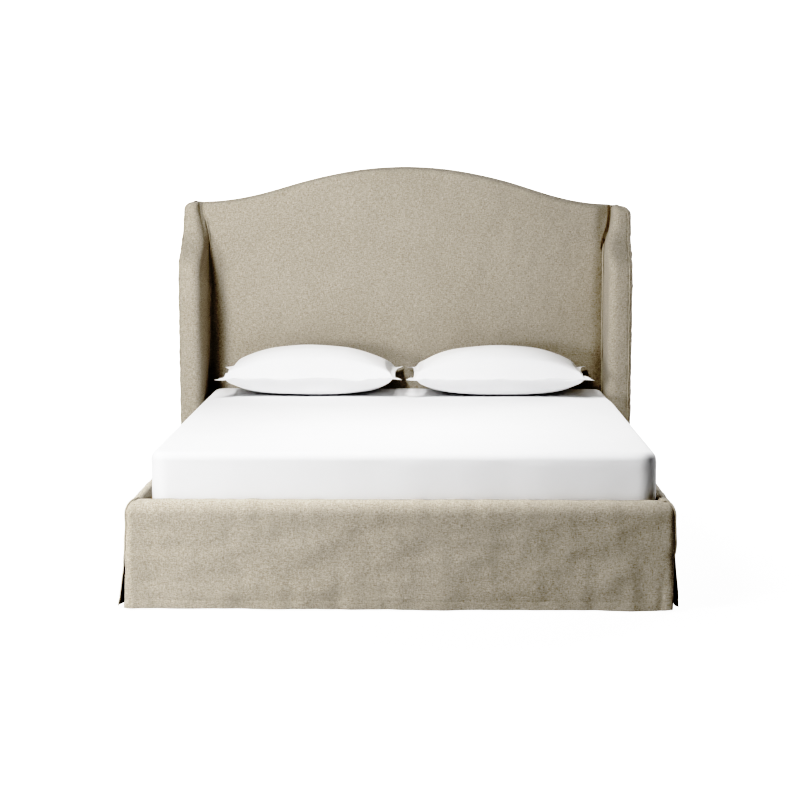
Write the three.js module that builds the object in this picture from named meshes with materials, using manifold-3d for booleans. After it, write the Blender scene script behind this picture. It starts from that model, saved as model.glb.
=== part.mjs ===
// Slipcovered wing bed with a camelback headboard, with its mattress and two pillows.
// Units are millimetres. +Z is up, +Y points towards the head, +X to the right seen from the foot.
// The origin is on the floor, at the middle of the bed's outline.
import * as THREE from 'three';
import { mergeVertices } from 'three/addons/utils/BufferGeometryUtils.js';
import Module from 'manifold-3d';

// ---- driving dimensions ----
const GAP = 0.3;                 // clearance between touching pieces

const DEPTH_HALF = 1102.5;       // half of the bed's overall length
const WING_OUT = 1083;           // outer face of the wings, from the middle
const WING_IN = 972;             // inner face of the wings, from the middle
const WING_IN_TOP = 1000;        // inner face at the very top, where the wings thin
const WING_TAPER_Z = 1290;       // height where that thinning starts
const WING_FRONT = 745;          // front edge of the wings
const CORNER_R = 48;             // rounding of the headboard's top corners
const CORNER_Z = 1446;           // height of the centre of that rounding
const HEM_Z = 5;                 // the covers stop this far above the floor
const PANEL_Y = 1003;            // front face of the headboard panel
const COVER = 3;                 // cover, lining and seam together
const PAD = 21.5;                // padding over the frame's edges

// top edge of the headboard: distance from the middle, height
const CAMEL = [[0, 1666], [120, 1661], [220, 1651], [316, 1635], [411, 1615], [510, 1590],
  [608, 1561], [705, 1534], [803, 1513], [900, 1500], [1000, 1495], [1035, 1494]];
// front edge of the wings: height, distance towards the head
const WING_EDGE = [[0, 745], [1150, 745], [1180, 750], [1210, 763], [1240, 790], [1270, 832],
  [1300, 878], [1330, 915], [1360, 938], [1400, 955], [1440, 965], [1560, 972]];

const FRAME_Y0 = 1055.3;         // headboard timber, front
const FRAME_Y1 = 1095;           // headboard timber, back
const RAIL_Z0 = 120;             // rails, lower edge
const RAIL_Z1 = 400;             // rails, upper edge
const RAIL_IN = 985;             // inner face of the side rails
const RAIL_OUT = 1009.7;         // outer face of the side rails
const FOOT_IN = -1047;           // inner face of the foot rail
const FOOT_OUT = -1072;          // outer face of the foot rail
const RAIL_PAD_OUT = 1032.8;     // padding on the side rails
const FOOT_PAD_OUT = -1096.2;    // padding on the foot rail
const BASE_OUT = 1039;           // side covers, outer face
const COVER_TOP = 415;           // covers, top of the rails
const LEDGE_Z0 = 232;
const LEDGE_Z1 = 262;
const LEDGE_W = 40;
const SLATS = 11;
const SLAT_W = 90;
const SLAT_T = 21;
const SLAT_HALF = 980;
const BEAM_W = 60;
const BEAM_H = 70;
const GLIDE_H = 8;
const MATTRESS_HALF_W = 965;
const MATTRESS_Y0 = -1032;
const MATTRESS_Y1 = 998;
const MATTRESS_Z0 = 284;
const MATTRESS_Z1 = 589;
const SHEET = 1.5;
const PILLOW_HALF_W = 442;       // to the edge of the flange
const PILLOW_HALF_D = 232;
const PILLOW_FLANGE = 40;
const PILLOW_X = 447.5;
const PILLOW_Y = 748;
const PILLOW_UP = 152;           // crown above the seam
const PILLOW_DOWN = 72;          // belly under the seam

// ---- materials ----
const mat = (color, roughness, metalness = 0) => new THREE.MeshStandardMaterial({ color, roughness, metalness });
const LINEN = () => mat(0xada290, 0.95);
const FOAM = () => mat(0xe6ddc4, 0.95);
const PINE = () => mat(0xcfae7c, 0.6);
const PLY = () => mat(0xbf9a68, 0.65);
const STEEL = () => mat(0x8d9094, 0.4, 0.9);
const PLASTIC = () => mat(0x2a2a2b, 0.5);
const COTTON = () => mat(0xf2f2f2, 0.9);
const TICKING = () => mat(0xe9e8e4, 0.9);

const group = new THREE.Group();
function add(name, geometry, material, parent = group) {
  const mesh = new THREE.Mesh(geometry, material);
  mesh.name = name;
  parent.add(mesh);
  return mesh;
}

// ---- shape helpers ----
function boxGeo(x0, x1, y0, y1, z0, z1) {
  const g = new THREE.BoxGeometry(Math.abs(x1 - x0), Math.abs(y1 - y0), Math.abs(z1 - z0));
  g.translate((x0 + x1) / 2, (y0 + y1) / 2, (z0 + z1) / 2);
  return g;
}
function shapeOf(points) {
  return new THREE.Shape(points.map(([a, b]) => new THREE.Vector2(a, b)));
}
const plain = { bevelEnabled: false, steps: 1 };
// profile in Y and Z, extruded from x0 to x1
function alongX(points, x0, x1) {
  const g = new THREE.ExtrudeGeometry(shapeOf(points), { ...plain, depth: x1 - x0 });
  g.applyMatrix4(new THREE.Matrix4().makeBasis(new THREE.Vector3(0, 1, 0), new THREE.Vector3(0, 0, 1), new THREE.Vector3(1, 0, 0)));
  g.translate(x0, 0, 0);
  return g;
}
// profile in X and Z, extruded from y0 to y1
function alongY(points, y0, y1) {
  const g = new THREE.ExtrudeGeometry(shapeOf(points), { ...plain, depth: y1 - y0 });
  g.applyMatrix4(new THREE.Matrix4().makeBasis(new THREE.Vector3(1, 0, 0), new THREE.Vector3(0, 0, 1), new THREE.Vector3(0, -1, 0)));
  g.translate(0, y1, 0);
  return g;
}
// profile in X and Y, extruded from z0 to z1
function alongZ(points, z0, z1) {
  const g = new THREE.ExtrudeGeometry(shapeOf(points), { ...plain, depth: z1 - z0 });
  g.translate(0, 0, z0);
  return g;
}
const mirrorX = (points) => points.map(([x, z]) => [-x, z]).reverse();

const wasm = await Module();
wasm.setup();
function solid(geometry) {
  const g = geometry.clone();
  g.deleteAttribute('normal');
  if (g.attributes.uv) g.deleteAttribute('uv');
  const m = mergeVertices(g, 1e-3);
  return new wasm.Manifold(new wasm.Mesh({
    numProp: 3,
    vertProperties: new Float32Array(m.attributes.position.array),
    triVerts: new Uint32Array(m.index.array),
  }));
}
function geometryOf(manifold) {
  const m = manifold.getMesh();
  const g = new THREE.BufferGeometry();
  const position = new Float32Array(m.numVert * 3);
  for (let i = 0; i < m.numVert; i++) {
    for (let k = 0; k < 3; k++) position[3 * i + k] = m.vertProperties[i * m.numProp + k];
  }
  g.setAttribute('position', new THREE.BufferAttribute(position, 3));
  g.setIndex(new THREE.BufferAttribute(new Uint32Array(m.triVerts), 1));
  const flat = g.toNonIndexed();
  flat.computeVertexNormals();
  return flat;
}
const union = (list) => list.reduce((a, b) => a.add(b));

function along(table, v) {
  if (v <= table[0][0]) return table[0][1];
  for (let i = 1; i < table.length; i++) {
    if (v <= table[i][0]) {
      const [a, p] = table[i - 1], [b, q] = table[i];
      return p + (q - p) * (v - a) / (b - a);
    }
  }
  return table[table.length - 1][1];
}
const topZ = (x) => along(CAMEL, Math.abs(x));

// right half of the top edge from x0 to the outer face, lowered by off
function topEdge(x0, off, xEnd) {
  const pts = [];
  const xs = [x0, ...CAMEL.map((p) => p[0]).filter((x) => x > x0 + 1 && x < Math.min(xEnd, 1034))];
  for (const x of xs) pts.push([x, topZ(x) - off]);
  if (xEnd > 1035) {
    const cx = WING_OUT - CORNER_R, r = CORNER_R - off;
    for (let i = 0; i <= 6; i++) {
      const a = Math.PI / 2 * (1 - i / 6);
      pts.push([cx + r * Math.cos(a), CORNER_Z + r * Math.sin(a)]);
    }
  } else {
    pts.push([xEnd, topZ(xEnd) - off]);
  }
  return pts;
}
// whole camelback outline out to half width w
function panelOutline(off, w, zLow) {
  const right = topEdge(0, off, w);
  const left = right.slice(1).map(([x, z]) => [-x, z]).reverse();
  return [[-w, zLow], [w, zLow], ...right.slice().reverse(), ...left.slice().reverse()];
}
// front view of the right wing
function wingOutline(off, zLow) {
  const pts = [[WING_IN + off, zLow], [WING_OUT - off, zLow]];
  const top = topEdge(WING_IN_TOP + off, off, WING_OUT);
  pts.push(...top.reverse());
  pts.push([WING_IN + off, WING_TAPER_Z]);
  return pts;
}
// side view of a wing
function wingSide(off, yBack, zLow) {
  const pts = [[yBack, zLow], [yBack, 1560]];
  const z = WING_EDGE.map((p) => p[0]).filter((v) => v > zLow).reverse();
  for (const v of z) pts.push([along(WING_EDGE, v) + off, v]);
  pts.push([along(WING_EDGE, zLow) + off, zLow]);
  return pts.reverse();
}
function wingSolid(side, off, yBack, zLow) {
  const outline = side > 0 ? wingOutline(off, zLow) : mirrorX(wingOutline(off, zLow));
  const a = solid(alongY(outline, WING_FRONT - 20, yBack));
  const b = solid(side > 0 ? alongX(wingSide(off, yBack + 1, zLow - 1), WING_IN - 5, WING_OUT + 5)
    : alongX(wingSide(off, yBack + 1, zLow - 1), -WING_OUT - 5, -WING_IN + 5));
  return a.intersect(b);
}
const sideBox = (side, x0, x1, y0, y1, z0, z1) => boxGeo(Math.min(side * x0, side * x1), Math.max(side * x0, side * x1), y0, y1, z0, z1);

// ---- headboard: timber frame, boards and padding ----
for (const [side, tag] of [[-1, 'left'], [1, 'right']]) {
  add(`headboard_post_${tag}`, sideBox(side, 919.7, RAIL_OUT, FRAME_Y0, FRAME_Y1, GLIDE_H + GAP, 1380), PINE());
}
add('headboard_top_rail', alongY(panelOutline(3.5 + PAD, RAIL_OUT, 1380.3), FRAME_Y0, FRAME_Y1), PINE());
add('headboard_mid_rail', boxGeo(-919.4, 919.4, FRAME_Y0, FRAME_Y1, 800, 890), PINE());
add('headboard_bottom_rail', boxGeo(-919.4, 919.4, FRAME_Y0, FRAME_Y1, 150, 290), PINE());
add('headboard_stile', boxGeo(-45, 45, FRAME_Y0, FRAME_Y1, 890.3, 1380), PINE());
add('headboard_front_board', alongY(panelOutline(3.5 + PAD, 984.5, 300), 1045.3, 1055), PLY());
add('headboard_front_foam', alongY(panelOutline(3.5, 975, 300), PANEL_Y + COVER + GAP, 1045), FOAM());
add('headboard_back_board', alongY(panelOutline(3.5 + PAD, RAIL_OUT, 20), 1095.3, 1099.1), PLY());
{
  const outer = solid(alongY(panelOutline(3.5, RAIL_OUT, 1400), 1045.3, 1099.1));
  const inner = solid(alongY(panelOutline(3.2 + PAD, RAIL_OUT + 5, 1390), 1040, 1105));
  add('headboard_top_foam', geometryOf(outer.subtract(inner)), FOAM());
}

// ---- wings: a board to the floor with padding wrapped round its front and top ----
for (const [side, tag] of [[-1, 'left'], [1, 'right']]) {
  const outline = wingOutline(3.5 + PAD, GLIDE_H + GAP);
  const shape = solid(alongY(side > 0 ? outline : mirrorX(outline), WING_FRONT - 20, 1099.1));
  const profile = wingSide(3.5 + PAD, 1110, 0);
  const board = solid(side > 0 ? alongX(profile, 1010, 1050) : alongX(profile, -1050, -1010));
  add(`wing_frame_${tag}`, geometryOf(shape.intersect(board)), PLY());

  const wrap = wingSolid(side, 3.3, 1099.1, GLIDE_H + GAP);
  const profile2 = wingSide(3.2 + PAD, 1110, -10);
  const room = solid(side > 0 ? alongX(profile2, 1009.7, 1050.3) : alongX(profile2, -1050.3, -1009.7));
  const outline2 = wingOutline(3.2 + PAD, -20);
  const room2 = solid(alongY(side > 0 ? outline2 : mirrorX(outline2), WING_FRONT - 20, 1110));
  let foam = wrap.subtract(room.intersect(room2));
  foam = foam.subtract(solid(sideBox(side, 940, 1010.2, 700, 1120, -20, COVER_TOP + 1)));
  foam = foam.subtract(solid(sideBox(side, 940, 1010.2, 1045.2, 1120, -20, 1600)));
  add(`wing_foam_${tag}`, geometryOf(foam), FOAM());
}

// ---- headboard slipcover: one shell over panel and wings, open at the bottom, slit for the rails ----
{
  const shell = (off, yBack, zLow) => union([
    solid(alongY(panelOutline(off, RAIL_OUT + 6, zLow), PANEL_Y + off, yBack)),
    wingSolid(1, off, yBack, zLow), wingSolid(-1, off, yBack, zLow)]);
  let cover = shell(0, DEPTH_HALF, HEM_Z).subtract(shell(COVER, DEPTH_HALF - COVER, -30));
  for (const side of [-1, 1]) cover = cover.subtract(solid(sideBox(side, 940, 1012, 700, 1048, -40, RAIL_Z1 + 12.3)));
  cover = cover.subtract(solid(boxGeo(-990, 990, 990, 1048, -40, 296)));
  add('headboard_slipcover', geometryOf(cover), LINEN());
}

// ---- base: rails, padding, slat supports, legs ----
for (const [side, tag] of [[-1, 'left'], [1, 'right']]) {
  add(`side_rail_${tag}`, sideBox(side, RAIL_IN, RAIL_OUT, FOOT_IN + GAP, 1055, RAIL_Z0, RAIL_Z1), PINE());
  const z1 = RAIL_Z1 + GAP, top = COVER_TOP - COVER - GAP;
  const pad = [[RAIL_OUT + GAP, RAIL_Z0], [RAIL_PAD_OUT, RAIL_Z0], [RAIL_PAD_OUT, top], [RAIL_IN, top], [RAIL_IN, z1], [RAIL_OUT + GAP, z1]];
  add(`rail_foam_${tag}`, alongY(side > 0 ? pad : mirrorX(pad), FOOT_OUT - GAP - 0.2, WING_FRONT - GAP), FOAM());
  add(`slat_ledge_${tag}`, sideBox(side, RAIL_IN - GAP - LEDGE_W, RAIL_IN - GAP, FOOT_IN + GAP, 980, LEDGE_Z0, LEDGE_Z1), PINE());
  add(`foot_leg_${tag}`, sideBox(side, 924, RAIL_IN - GAP, FOOT_IN + GAP, -986, GLIDE_H + GAP, LEDGE_Z0 - GAP), PINE());
  const bracket = [[RAIL_IN - GAP, 985], [RAIL_IN - GAP, 1055], [905, 1055], [905, 1051], [RAIL_IN - GAP - 4, 1051], [RAIL_IN - GAP - 4, 985]];
  add(`rail_bracket_${tag}`, alongZ(side > 0 ? bracket : mirrorX(bracket), 170, 285), STEEL());
}
add('foot_rail', boxGeo(-RAIL_OUT, RAIL_OUT, FOOT_OUT, FOOT_IN, RAIL_Z0, RAIL_Z1), PINE());
{
  const top = COVER_TOP - COVER - GAP;
  const front = [[FOOT_PAD_OUT, RAIL_Z0], [FOOT_OUT - GAP - 0.5, RAIL_Z0], [FOOT_OUT - GAP - 0.5, top], [FOOT_PAD_OUT, top]];
  const cap = [[FOOT_OUT - GAP - 2, RAIL_Z1 + GAP], [FOOT_IN, RAIL_Z1 + GAP], [FOOT_IN, top], [FOOT_OUT - GAP - 2, top]];
  const foam = solid(alongX(front, -RAIL_PAD_OUT, RAIL_PAD_OUT)).add(solid(alongX(cap, -RAIL_IN + GAP, RAIL_IN - GAP)));
  add('rail_foam_foot', geometryOf(foam), FOAM());
}
add('centre_beam', boxGeo(-BEAM_W / 2, BEAM_W / 2, FOOT_IN + GAP, 1055, LEDGE_Z1 - BEAM_H, LEDGE_Z1), PINE());
{
  const w = BEAM_W / 2 + GAP, t = 3, z = LEDGE_Z1 - BEAM_H - GAP;
  const u = [[-w - t, z - t], [w + t, z - t], [w + t, z + 50], [w, z + 50], [w, z], [-w, z], [-w, z + 50], [-w - t, z + 50]];
  add('beam_hanger_foot', alongY(u, FOOT_IN + GAP, FOOT_IN + 40), STEEL());
  add('beam_hanger_head', alongY(u, 1015, 1055), STEEL());
}
const pitch = (955 - (-1000)) / (SLATS - 1);
for (let i = 0; i < SLATS; i++) {
  const y = -990 + i * pitch * 0.985;
  add(`slat_${String(i + 1).padStart(2, '0')}`, boxGeo(-SLAT_HALF, SLAT_HALF, y - SLAT_W / 2, y + SLAT_W / 2, LEDGE_Z1 + GAP, LEDGE_Z1 + GAP + SLAT_T), PINE());
}
// centre legs, each drilled for a threaded levelling foot
for (const [y, tag] of [[-350, 'front'], [350, 'rear']]) {
  const z0 = 22, z1 = LEDGE_Z1 - BEAM_H - GAP;
  const hole = new THREE.CylinderGeometry(5.5, 5.5, 70, 16);
  hole.rotateX(Math.PI / 2);
  hole.translate(0, y, 30);
  add(`centre_leg_${tag}`, geometryOf(solid(boxGeo(-25, 25, y - 25, y + 25, z0, z1)).subtract(solid(hole))), PINE());
  const foot = new THREE.LatheGeometry([[0, 2], [20, 2], [22, 4], [22, 7], [16, 10], [5, 10.5], [5, 48], [4, 49], [0, 49]].map(([r, z]) => new THREE.Vector2(r, z)), 16);
  foot.rotateX(Math.PI / 2);
  const mesh = add(`levelling_foot_${tag}`, foot, STEEL());
  mesh.position.set(0, y, 0);
}
// fixed glides under the four corners
for (const [x, y, tag] of [[-954, -1016, 'foot_left'], [954, -1016, 'foot_right'], [-965, 1075, 'head_left'], [965, 1075, 'head_right']]) {
  const glide = new THREE.LatheGeometry([[0, 0], [14, 0], [17, 2.5], [17, GLIDE_H], [0, GLIDE_H]].map(([r, z]) => new THREE.Vector2(r, z)), 16);
  glide.rotateX(Math.PI / 2);
  const mesh = add(`glide_${tag}`, glide, PLASTIC());
  mesh.position.set(x, y, 0);
}

// ---- base slipcover: foot and side panels that fold over the rails, with a pleat behind each front corner ----
const FLAP_LOW = 365;            // the inside flap reaches down to here
for (const [side, tag] of [[-1, 'left'], [1, 'right']]) {
  const s = [[BASE_OUT - COVER, HEM_Z], [BASE_OUT, HEM_Z], [BASE_OUT, COVER_TOP], [978, COVER_TOP], [978, FLAP_LOW],
    [980.5, FLAP_LOW], [980.5, COVER_TOP - COVER], [BASE_OUT - COVER, COVER_TOP - COVER]];
  const run = solid(alongY(side > 0 ? s : mirrorX(s), -DEPTH_HALF + COVER + GAP, WING_FRONT - 0.6));
  const corner = solid(sideBox(side, 970, 990, -1110, FOOT_IN + GAP, 300, COVER_TOP - COVER));
  add(`side_cover_${tag}`, geometryOf(run.subtract(corner)), LINEN());
  const x = BASE_OUT - COVER - GAP, y = -DEPTH_HALF + COVER + GAP;
  const pleat = [[940, y], [x, y], [x, -1000], [x - 2.4, -1000], [x - 2.4, y + 2.4], [940, y + 2.4]];
  add(`corner_pleat_${tag}`, alongZ(side > 0 ? pleat : mirrorX(pleat), HEM_Z + 3, 250), LINEN());
}
{
  const panel = solid(boxGeo(-BASE_OUT, BASE_OUT, -DEPTH_HALF, -DEPTH_HALF + COVER, HEM_Z, COVER_TOP));
  const flap = solid(alongX([[-DEPTH_HALF + 1, COVER_TOP - COVER], [-1040.5, COVER_TOP - COVER], [-1040.5, FLAP_LOW], [-1038, FLAP_LOW],
    [-1038, COVER_TOP], [-DEPTH_HALF + 1, COVER_TOP]], -977.5, 977.5));
  add('foot_cover', geometryOf(panel.add(flap)), LINEN());
}

// ---- mattress and its fitted sheet ----
function roundedRect(x0, x1, y0, y1, r, n = 5) {
  const pts = [];
  for (const [cx, cy, a0] of [[x1 - r, y1 - r, 0], [x0 + r, y1 - r, Math.PI / 2], [x0 + r, y0 + r, Math.PI], [x1 - r, y0 + r, 1.5 * Math.PI]]) {
    for (let i = 0; i <= n; i++) {
      const a = a0 + Math.PI / 2 * i / n;
      pts.push([cx + r * Math.cos(a), cy + r * Math.sin(a)]);
    }
  }
  return pts;
}
function softSlab(grow, zLow, zHigh, edge) {
  const pts = roundedRect(-MATTRESS_HALF_W - grow + edge, MATTRESS_HALF_W + grow - edge, MATTRESS_Y0 - grow + edge, MATTRESS_Y1 + grow - edge, 70);
  const g = new THREE.ExtrudeGeometry(shapeOf(pts), { depth: zHigh - zLow - 2 * edge, steps: 1, bevelEnabled: true, bevelThickness: edge, bevelSize: edge, bevelSegments: 3 });
  g.translate(0, 0, zLow + edge);
  return g;
}
add('mattress', softSlab(0, MATTRESS_Z0, MATTRESS_Z1, 22), TICKING());
{
  const outer = solid(softSlab(GAP + SHEET, MATTRESS_Z0 - 60, MATTRESS_Z1 + GAP + SHEET, 22));
  const inner = solid(softSlab(GAP, MATTRESS_Z0 - 70, MATTRESS_Z1 + GAP, 22));
  const cut = solid(boxGeo(-1200, 1200, -1200, 1200, MATTRESS_Z0 - 90, MATTRESS_Z0 + 26));
  add('fitted_sheet', geometryOf(outer.subtract(inner).subtract(cut)), COTTON());
}

// ---- pillows: a filled insert inside a case with a flat flange, open at its outer end ----
function cushion(hw, hd, up, down, nx = 10, ny = 8) {
  const pos = [], idx = [];
  const height = (u, v, h) => h * Math.pow(Math.max(0, 1 - Math.pow(Math.abs(u), 2.6)), 0.62) * Math.pow(Math.max(0, 1 - Math.pow(Math.abs(v), 2.6)), 0.62);
  const id = new Map();
  const vert = (i, j, s) => {
    const edge = i === 0 || j === 0 || i === nx || j === ny;
    const key = edge ? `${i},${j}` : `${i},${j},${s}`;
    if (id.has(key)) return id.get(key);
    const u = Math.sin(Math.PI / 2 * (2 * i / nx - 1)), v = Math.sin(Math.PI / 2 * (2 * j / ny - 1));
    pos.push(u * hw, v * hd, edge ? 0 : s > 0 ? height(u, v, up) : -height(u, v, down));
    id.set(key, pos.length / 3 - 1);
    return pos.length / 3 - 1;
  };
  for (let i = 0; i < nx; i++) {
    for (let j = 0; j < ny; j++) {
      for (const s of [1, -1]) {
        const a = vert(i, j, s), b = vert(i + 1, j, s), c = vert(i + 1, j + 1, s), d = vert(i, j + 1, s);
        const flip = (i < nx / 2) === (j < ny / 2);
        const tris = flip ? [[a, b, d], [b, c, d]] : [[a, b, c], [a, c, d]];
        for (const t of tris) idx.push(...(s > 0 ? t : [t[0], t[2], t[1]]));
      }
    }
  }
  const g = new THREE.BufferGeometry();
  g.setAttribute('position', new THREE.BufferAttribute(new Float32Array(pos), 3));
  g.setIndex(idx);
  return g;
}
for (const [side, tag] of [[-1, 'left'], [1, 'right']]) {
  const hw = PILLOW_HALF_W - PILLOW_FLANGE, hd = PILLOW_HALF_D - PILLOW_FLANGE;
  const holder = new THREE.Group();
  holder.position.set(side * PILLOW_X, PILLOW_Y, MATTRESS_Z1 + GAP + SHEET + 1 + PILLOW_DOWN);
  group.add(holder);
  const insert = cushion(hw - 3.5, hd - 3.5, PILLOW_UP - 3.5, PILLOW_DOWN - 3.5);
  const outer = solid(cushion(hw, hd, PILLOW_UP, PILLOW_DOWN)).add(solid(boxGeo(-PILLOW_HALF_W, PILLOW_HALF_W, -PILLOW_HALF_D, PILLOW_HALF_D, -2, 2)));
  const room = solid(cushion(hw - 2.2, hd - 2.2, PILLOW_UP - 2.2, PILLOW_DOWN - 2.2));
  const mouth = solid(boxGeo(side * (hw - 60), side * (PILLOW_HALF_W + 5), -hd + 60, hd - 60, -0.6, 0.6));
  add(`pillow_insert_${tag}`, insert, TICKING(), holder);
  add(`pillowcase_${tag}`, geometryOf(outer.subtract(room).subtract(mouth)), COTTON(), holder);
}

export default group;
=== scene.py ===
import bpy, bmesh, math
import numpy as np
from mathutils import Vector, Matrix


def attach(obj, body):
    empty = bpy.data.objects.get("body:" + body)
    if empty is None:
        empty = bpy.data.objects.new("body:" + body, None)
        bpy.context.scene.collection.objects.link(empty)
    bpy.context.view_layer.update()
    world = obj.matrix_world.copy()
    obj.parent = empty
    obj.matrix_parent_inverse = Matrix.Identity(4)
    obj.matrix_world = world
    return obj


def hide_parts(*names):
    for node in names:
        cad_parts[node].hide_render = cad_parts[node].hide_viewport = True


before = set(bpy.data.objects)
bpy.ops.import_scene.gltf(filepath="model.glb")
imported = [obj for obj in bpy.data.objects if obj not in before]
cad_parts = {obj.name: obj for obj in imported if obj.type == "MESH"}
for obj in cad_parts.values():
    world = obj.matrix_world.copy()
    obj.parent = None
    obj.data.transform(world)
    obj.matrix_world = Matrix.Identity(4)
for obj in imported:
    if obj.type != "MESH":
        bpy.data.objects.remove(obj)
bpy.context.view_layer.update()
scene = bpy.context.scene
BED = "bed_frame"


# ------------------------------------------------------------------ helpers
def smoothstep(a, b, x):
    t = np.clip((np.asarray(x, float) - a) / (b - a), 0, 1)
    return t * t * (3 - 2 * t)


def smooth_curve(table, lo, hi, sigma, n=3001):
    """A table of (x, y) as a function with its corners rounded over sigma."""
    xs = np.linspace(lo, hi, n)
    t = np.array(table, float)
    ys = np.interp(xs, t[:, 0], t[:, 1])
    step = xs[1] - xs[0]
    r = int(4 * sigma / step)
    k = np.exp(-0.5 * (np.arange(-r, r + 1) * step / sigma) ** 2)
    k /= k.sum()
    ys = np.convolve(np.pad(ys, r, mode="reflect", reflect_type="odd"), k, "valid")
    return lambda x: np.interp(x, xs, ys)


def waves(P, seed, lo, hi, n=14, stretch=None):
    """Smooth seeded noise of about unit size. P is (..., d), the wavelengths run from lo to hi."""
    P = np.asarray(P, float)
    d = P.shape[-1]
    rng = np.random.default_rng(seed)
    out = np.zeros(P.shape[:-1])
    s = np.ones(d) if stretch is None else np.asarray(stretch, float)
    for _ in range(n):
        v = rng.normal(size=d)
        v /= np.linalg.norm(v)
        lam = lo * (hi / lo) ** rng.random()
        out += np.sin((P * s) @ v * (2 * math.pi / lam) + rng.random() * 2 * math.pi)
    return out / math.sqrt(n / 2)


def link(o):
    scene.collection.objects.link(o)
    return o


def mesh_from(name, V, F, uv=None, mat=None, smooth=True):
    """V (n, 3), F list of index lists or an (m, 4) array, uv (n, 2) per vertex in metres."""
    V = np.asarray(V, float)
    me = bpy.data.meshes.new(name)
    if isinstance(F, np.ndarray) and F.ndim == 2:
        k = F.shape[1]
        me.vertices.add(len(V))
        me.vertices.foreach_set("co", V.astype(np.float32).ravel())
        me.loops.add(F.size)
        me.loops.foreach_set("vertex_index", F.astype(np.int32).ravel())
        me.polygons.add(len(F))
        me.polygons.foreach_set("loop_start", np.arange(0, F.size, k, dtype=np.int32))
        me.polygons.foreach_set("loop_total", np.full(len(F), k, np.int32))
        me.update(calc_edges=True)
    else:
        me.from_pydata([tuple(v) for v in V], [], [list(map(int, f)) for f in F])
    if uv is not None:
        layer = me.uv_layers.new(name="UVMap")
        idx = np.zeros(len(me.loops), np.int32)
        me.loops.foreach_get("vertex_index", idx)
        layer.data.foreach_set("uv", np.asarray(uv, np.float32)[idx].ravel())
    me.validate()
    me.polygons.foreach_set("use_smooth", np.full(len(me.polygons), smooth))
    me.update()
    if mat is not None:
        me.materials.append(mat)
    return link(bpy.data.objects.new(name, me))


def grid_faces(n, m, wrap=False, flip=False, offset=0):
    """Quads of an n by m grid of vertices, row major. wrap joins the last column to the first."""
    i, j = np.meshgrid(np.arange(n - 1), np.arange(m if wrap else m - 1), indexing="ij")
    i, j = i.ravel(), j.ravel()
    k = (j + 1) % m
    F = np.stack([i * m + j, (i + 1) * m + j, (i + 1) * m + k, i * m + k], 1) + offset
    return F[:, ::-1] if flip else F


def grid_normals(G):
    du = np.gradient(G, axis=0)
    dv = np.gradient(G, axis=1)
    N = np.cross(du, dv)
    return N / np.maximum(np.linalg.norm(N, axis=-1, keepdims=True), 1e-12)


def arc_lengths(G, axis):
    d = np.linalg.norm(np.diff(G, axis=axis), axis=-1)
    z = np.zeros_like(np.take(d, [0], axis=axis))
    return np.concatenate([z, np.cumsum(d, axis=axis)], axis=axis)


def grid_object(name, G, uv, mat, thick=0.0, flip=False, wrap=False):
    n, m = G.shape[:2]
    o = mesh_from(name, G.reshape(-1, 3), grid_faces(n, m, wrap, flip), uv.reshape(-1, 2), mat)
    if thick:
        s = o.modifiers.new("cloth_thickness", "SOLIDIFY")
        s.thickness = thick
        s.offset = -1
        s.use_even_offset = False
    return o


def apply_modifiers(o):
    dg = bpy.context.evaluated_depsgraph_get()
    dg.update()
    me = bpy.data.meshes.new_from_object(o.evaluated_get(dg))
    o.modifiers.clear()
    old = o.data
    o.data = me
    bpy.data.meshes.remove(old)
    return o


def tube(name, pts, r, mat, sides=8, flat=1.0, closed=False, up=None):
    """A closed tube along pts. flat squeezes it along its second axis."""
    pts = np.asarray(pts, float)
    n = len(pts)
    T = np.roll(pts, -1, 0) - np.roll(pts, 1, 0) if closed else np.gradient(pts, axis=0)
    T /= np.maximum(np.linalg.norm(T, axis=1, keepdims=True), 1e-12)
    ref = np.array(up if up is not None else (0.0, 1.0, 0.0))
    A = np.cross(T, ref)
    bad = np.linalg.norm(A, axis=1) < 1e-3
    A[bad] = np.cross(T[bad], np.array([1.0, 0, 0]))
    A /= np.linalg.norm(A, axis=1, keepdims=True)
    B = np.cross(T, A)
    a = np.linspace(0, 2 * math.pi, sides, endpoint=False)
    R = r if np.ndim(r) else np.full(n, r)
    G = pts[:, None] + R[:, None, None] * (np.cos(a)[None, :, None] * A[:, None] + flat * np.sin(a)[None, :, None] * B[:, None])
    V = G.reshape(-1, 3)
    F = [list(f) for f in grid_faces(n, sides, wrap=True)]
    if closed:
        for j in range(sides):
            k = (j + 1) % sides
            F.append([(n - 1) * sides + j, j, k, (n - 1) * sides + k])
    else:
        F.append(list(range(sides)))
        F.append([(n - 1) * sides + j for j in range(sides)][::-1])
    length = np.concatenate([[0], np.cumsum(np.linalg.norm(np.diff(pts, axis=0), axis=1))])
    uv = np.stack([np.repeat(length, sides), np.tile(a * r if not np.ndim(r) else a * R.mean(), n)], 1)
    return mesh_from(name, V, F, uv, mat)


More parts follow.
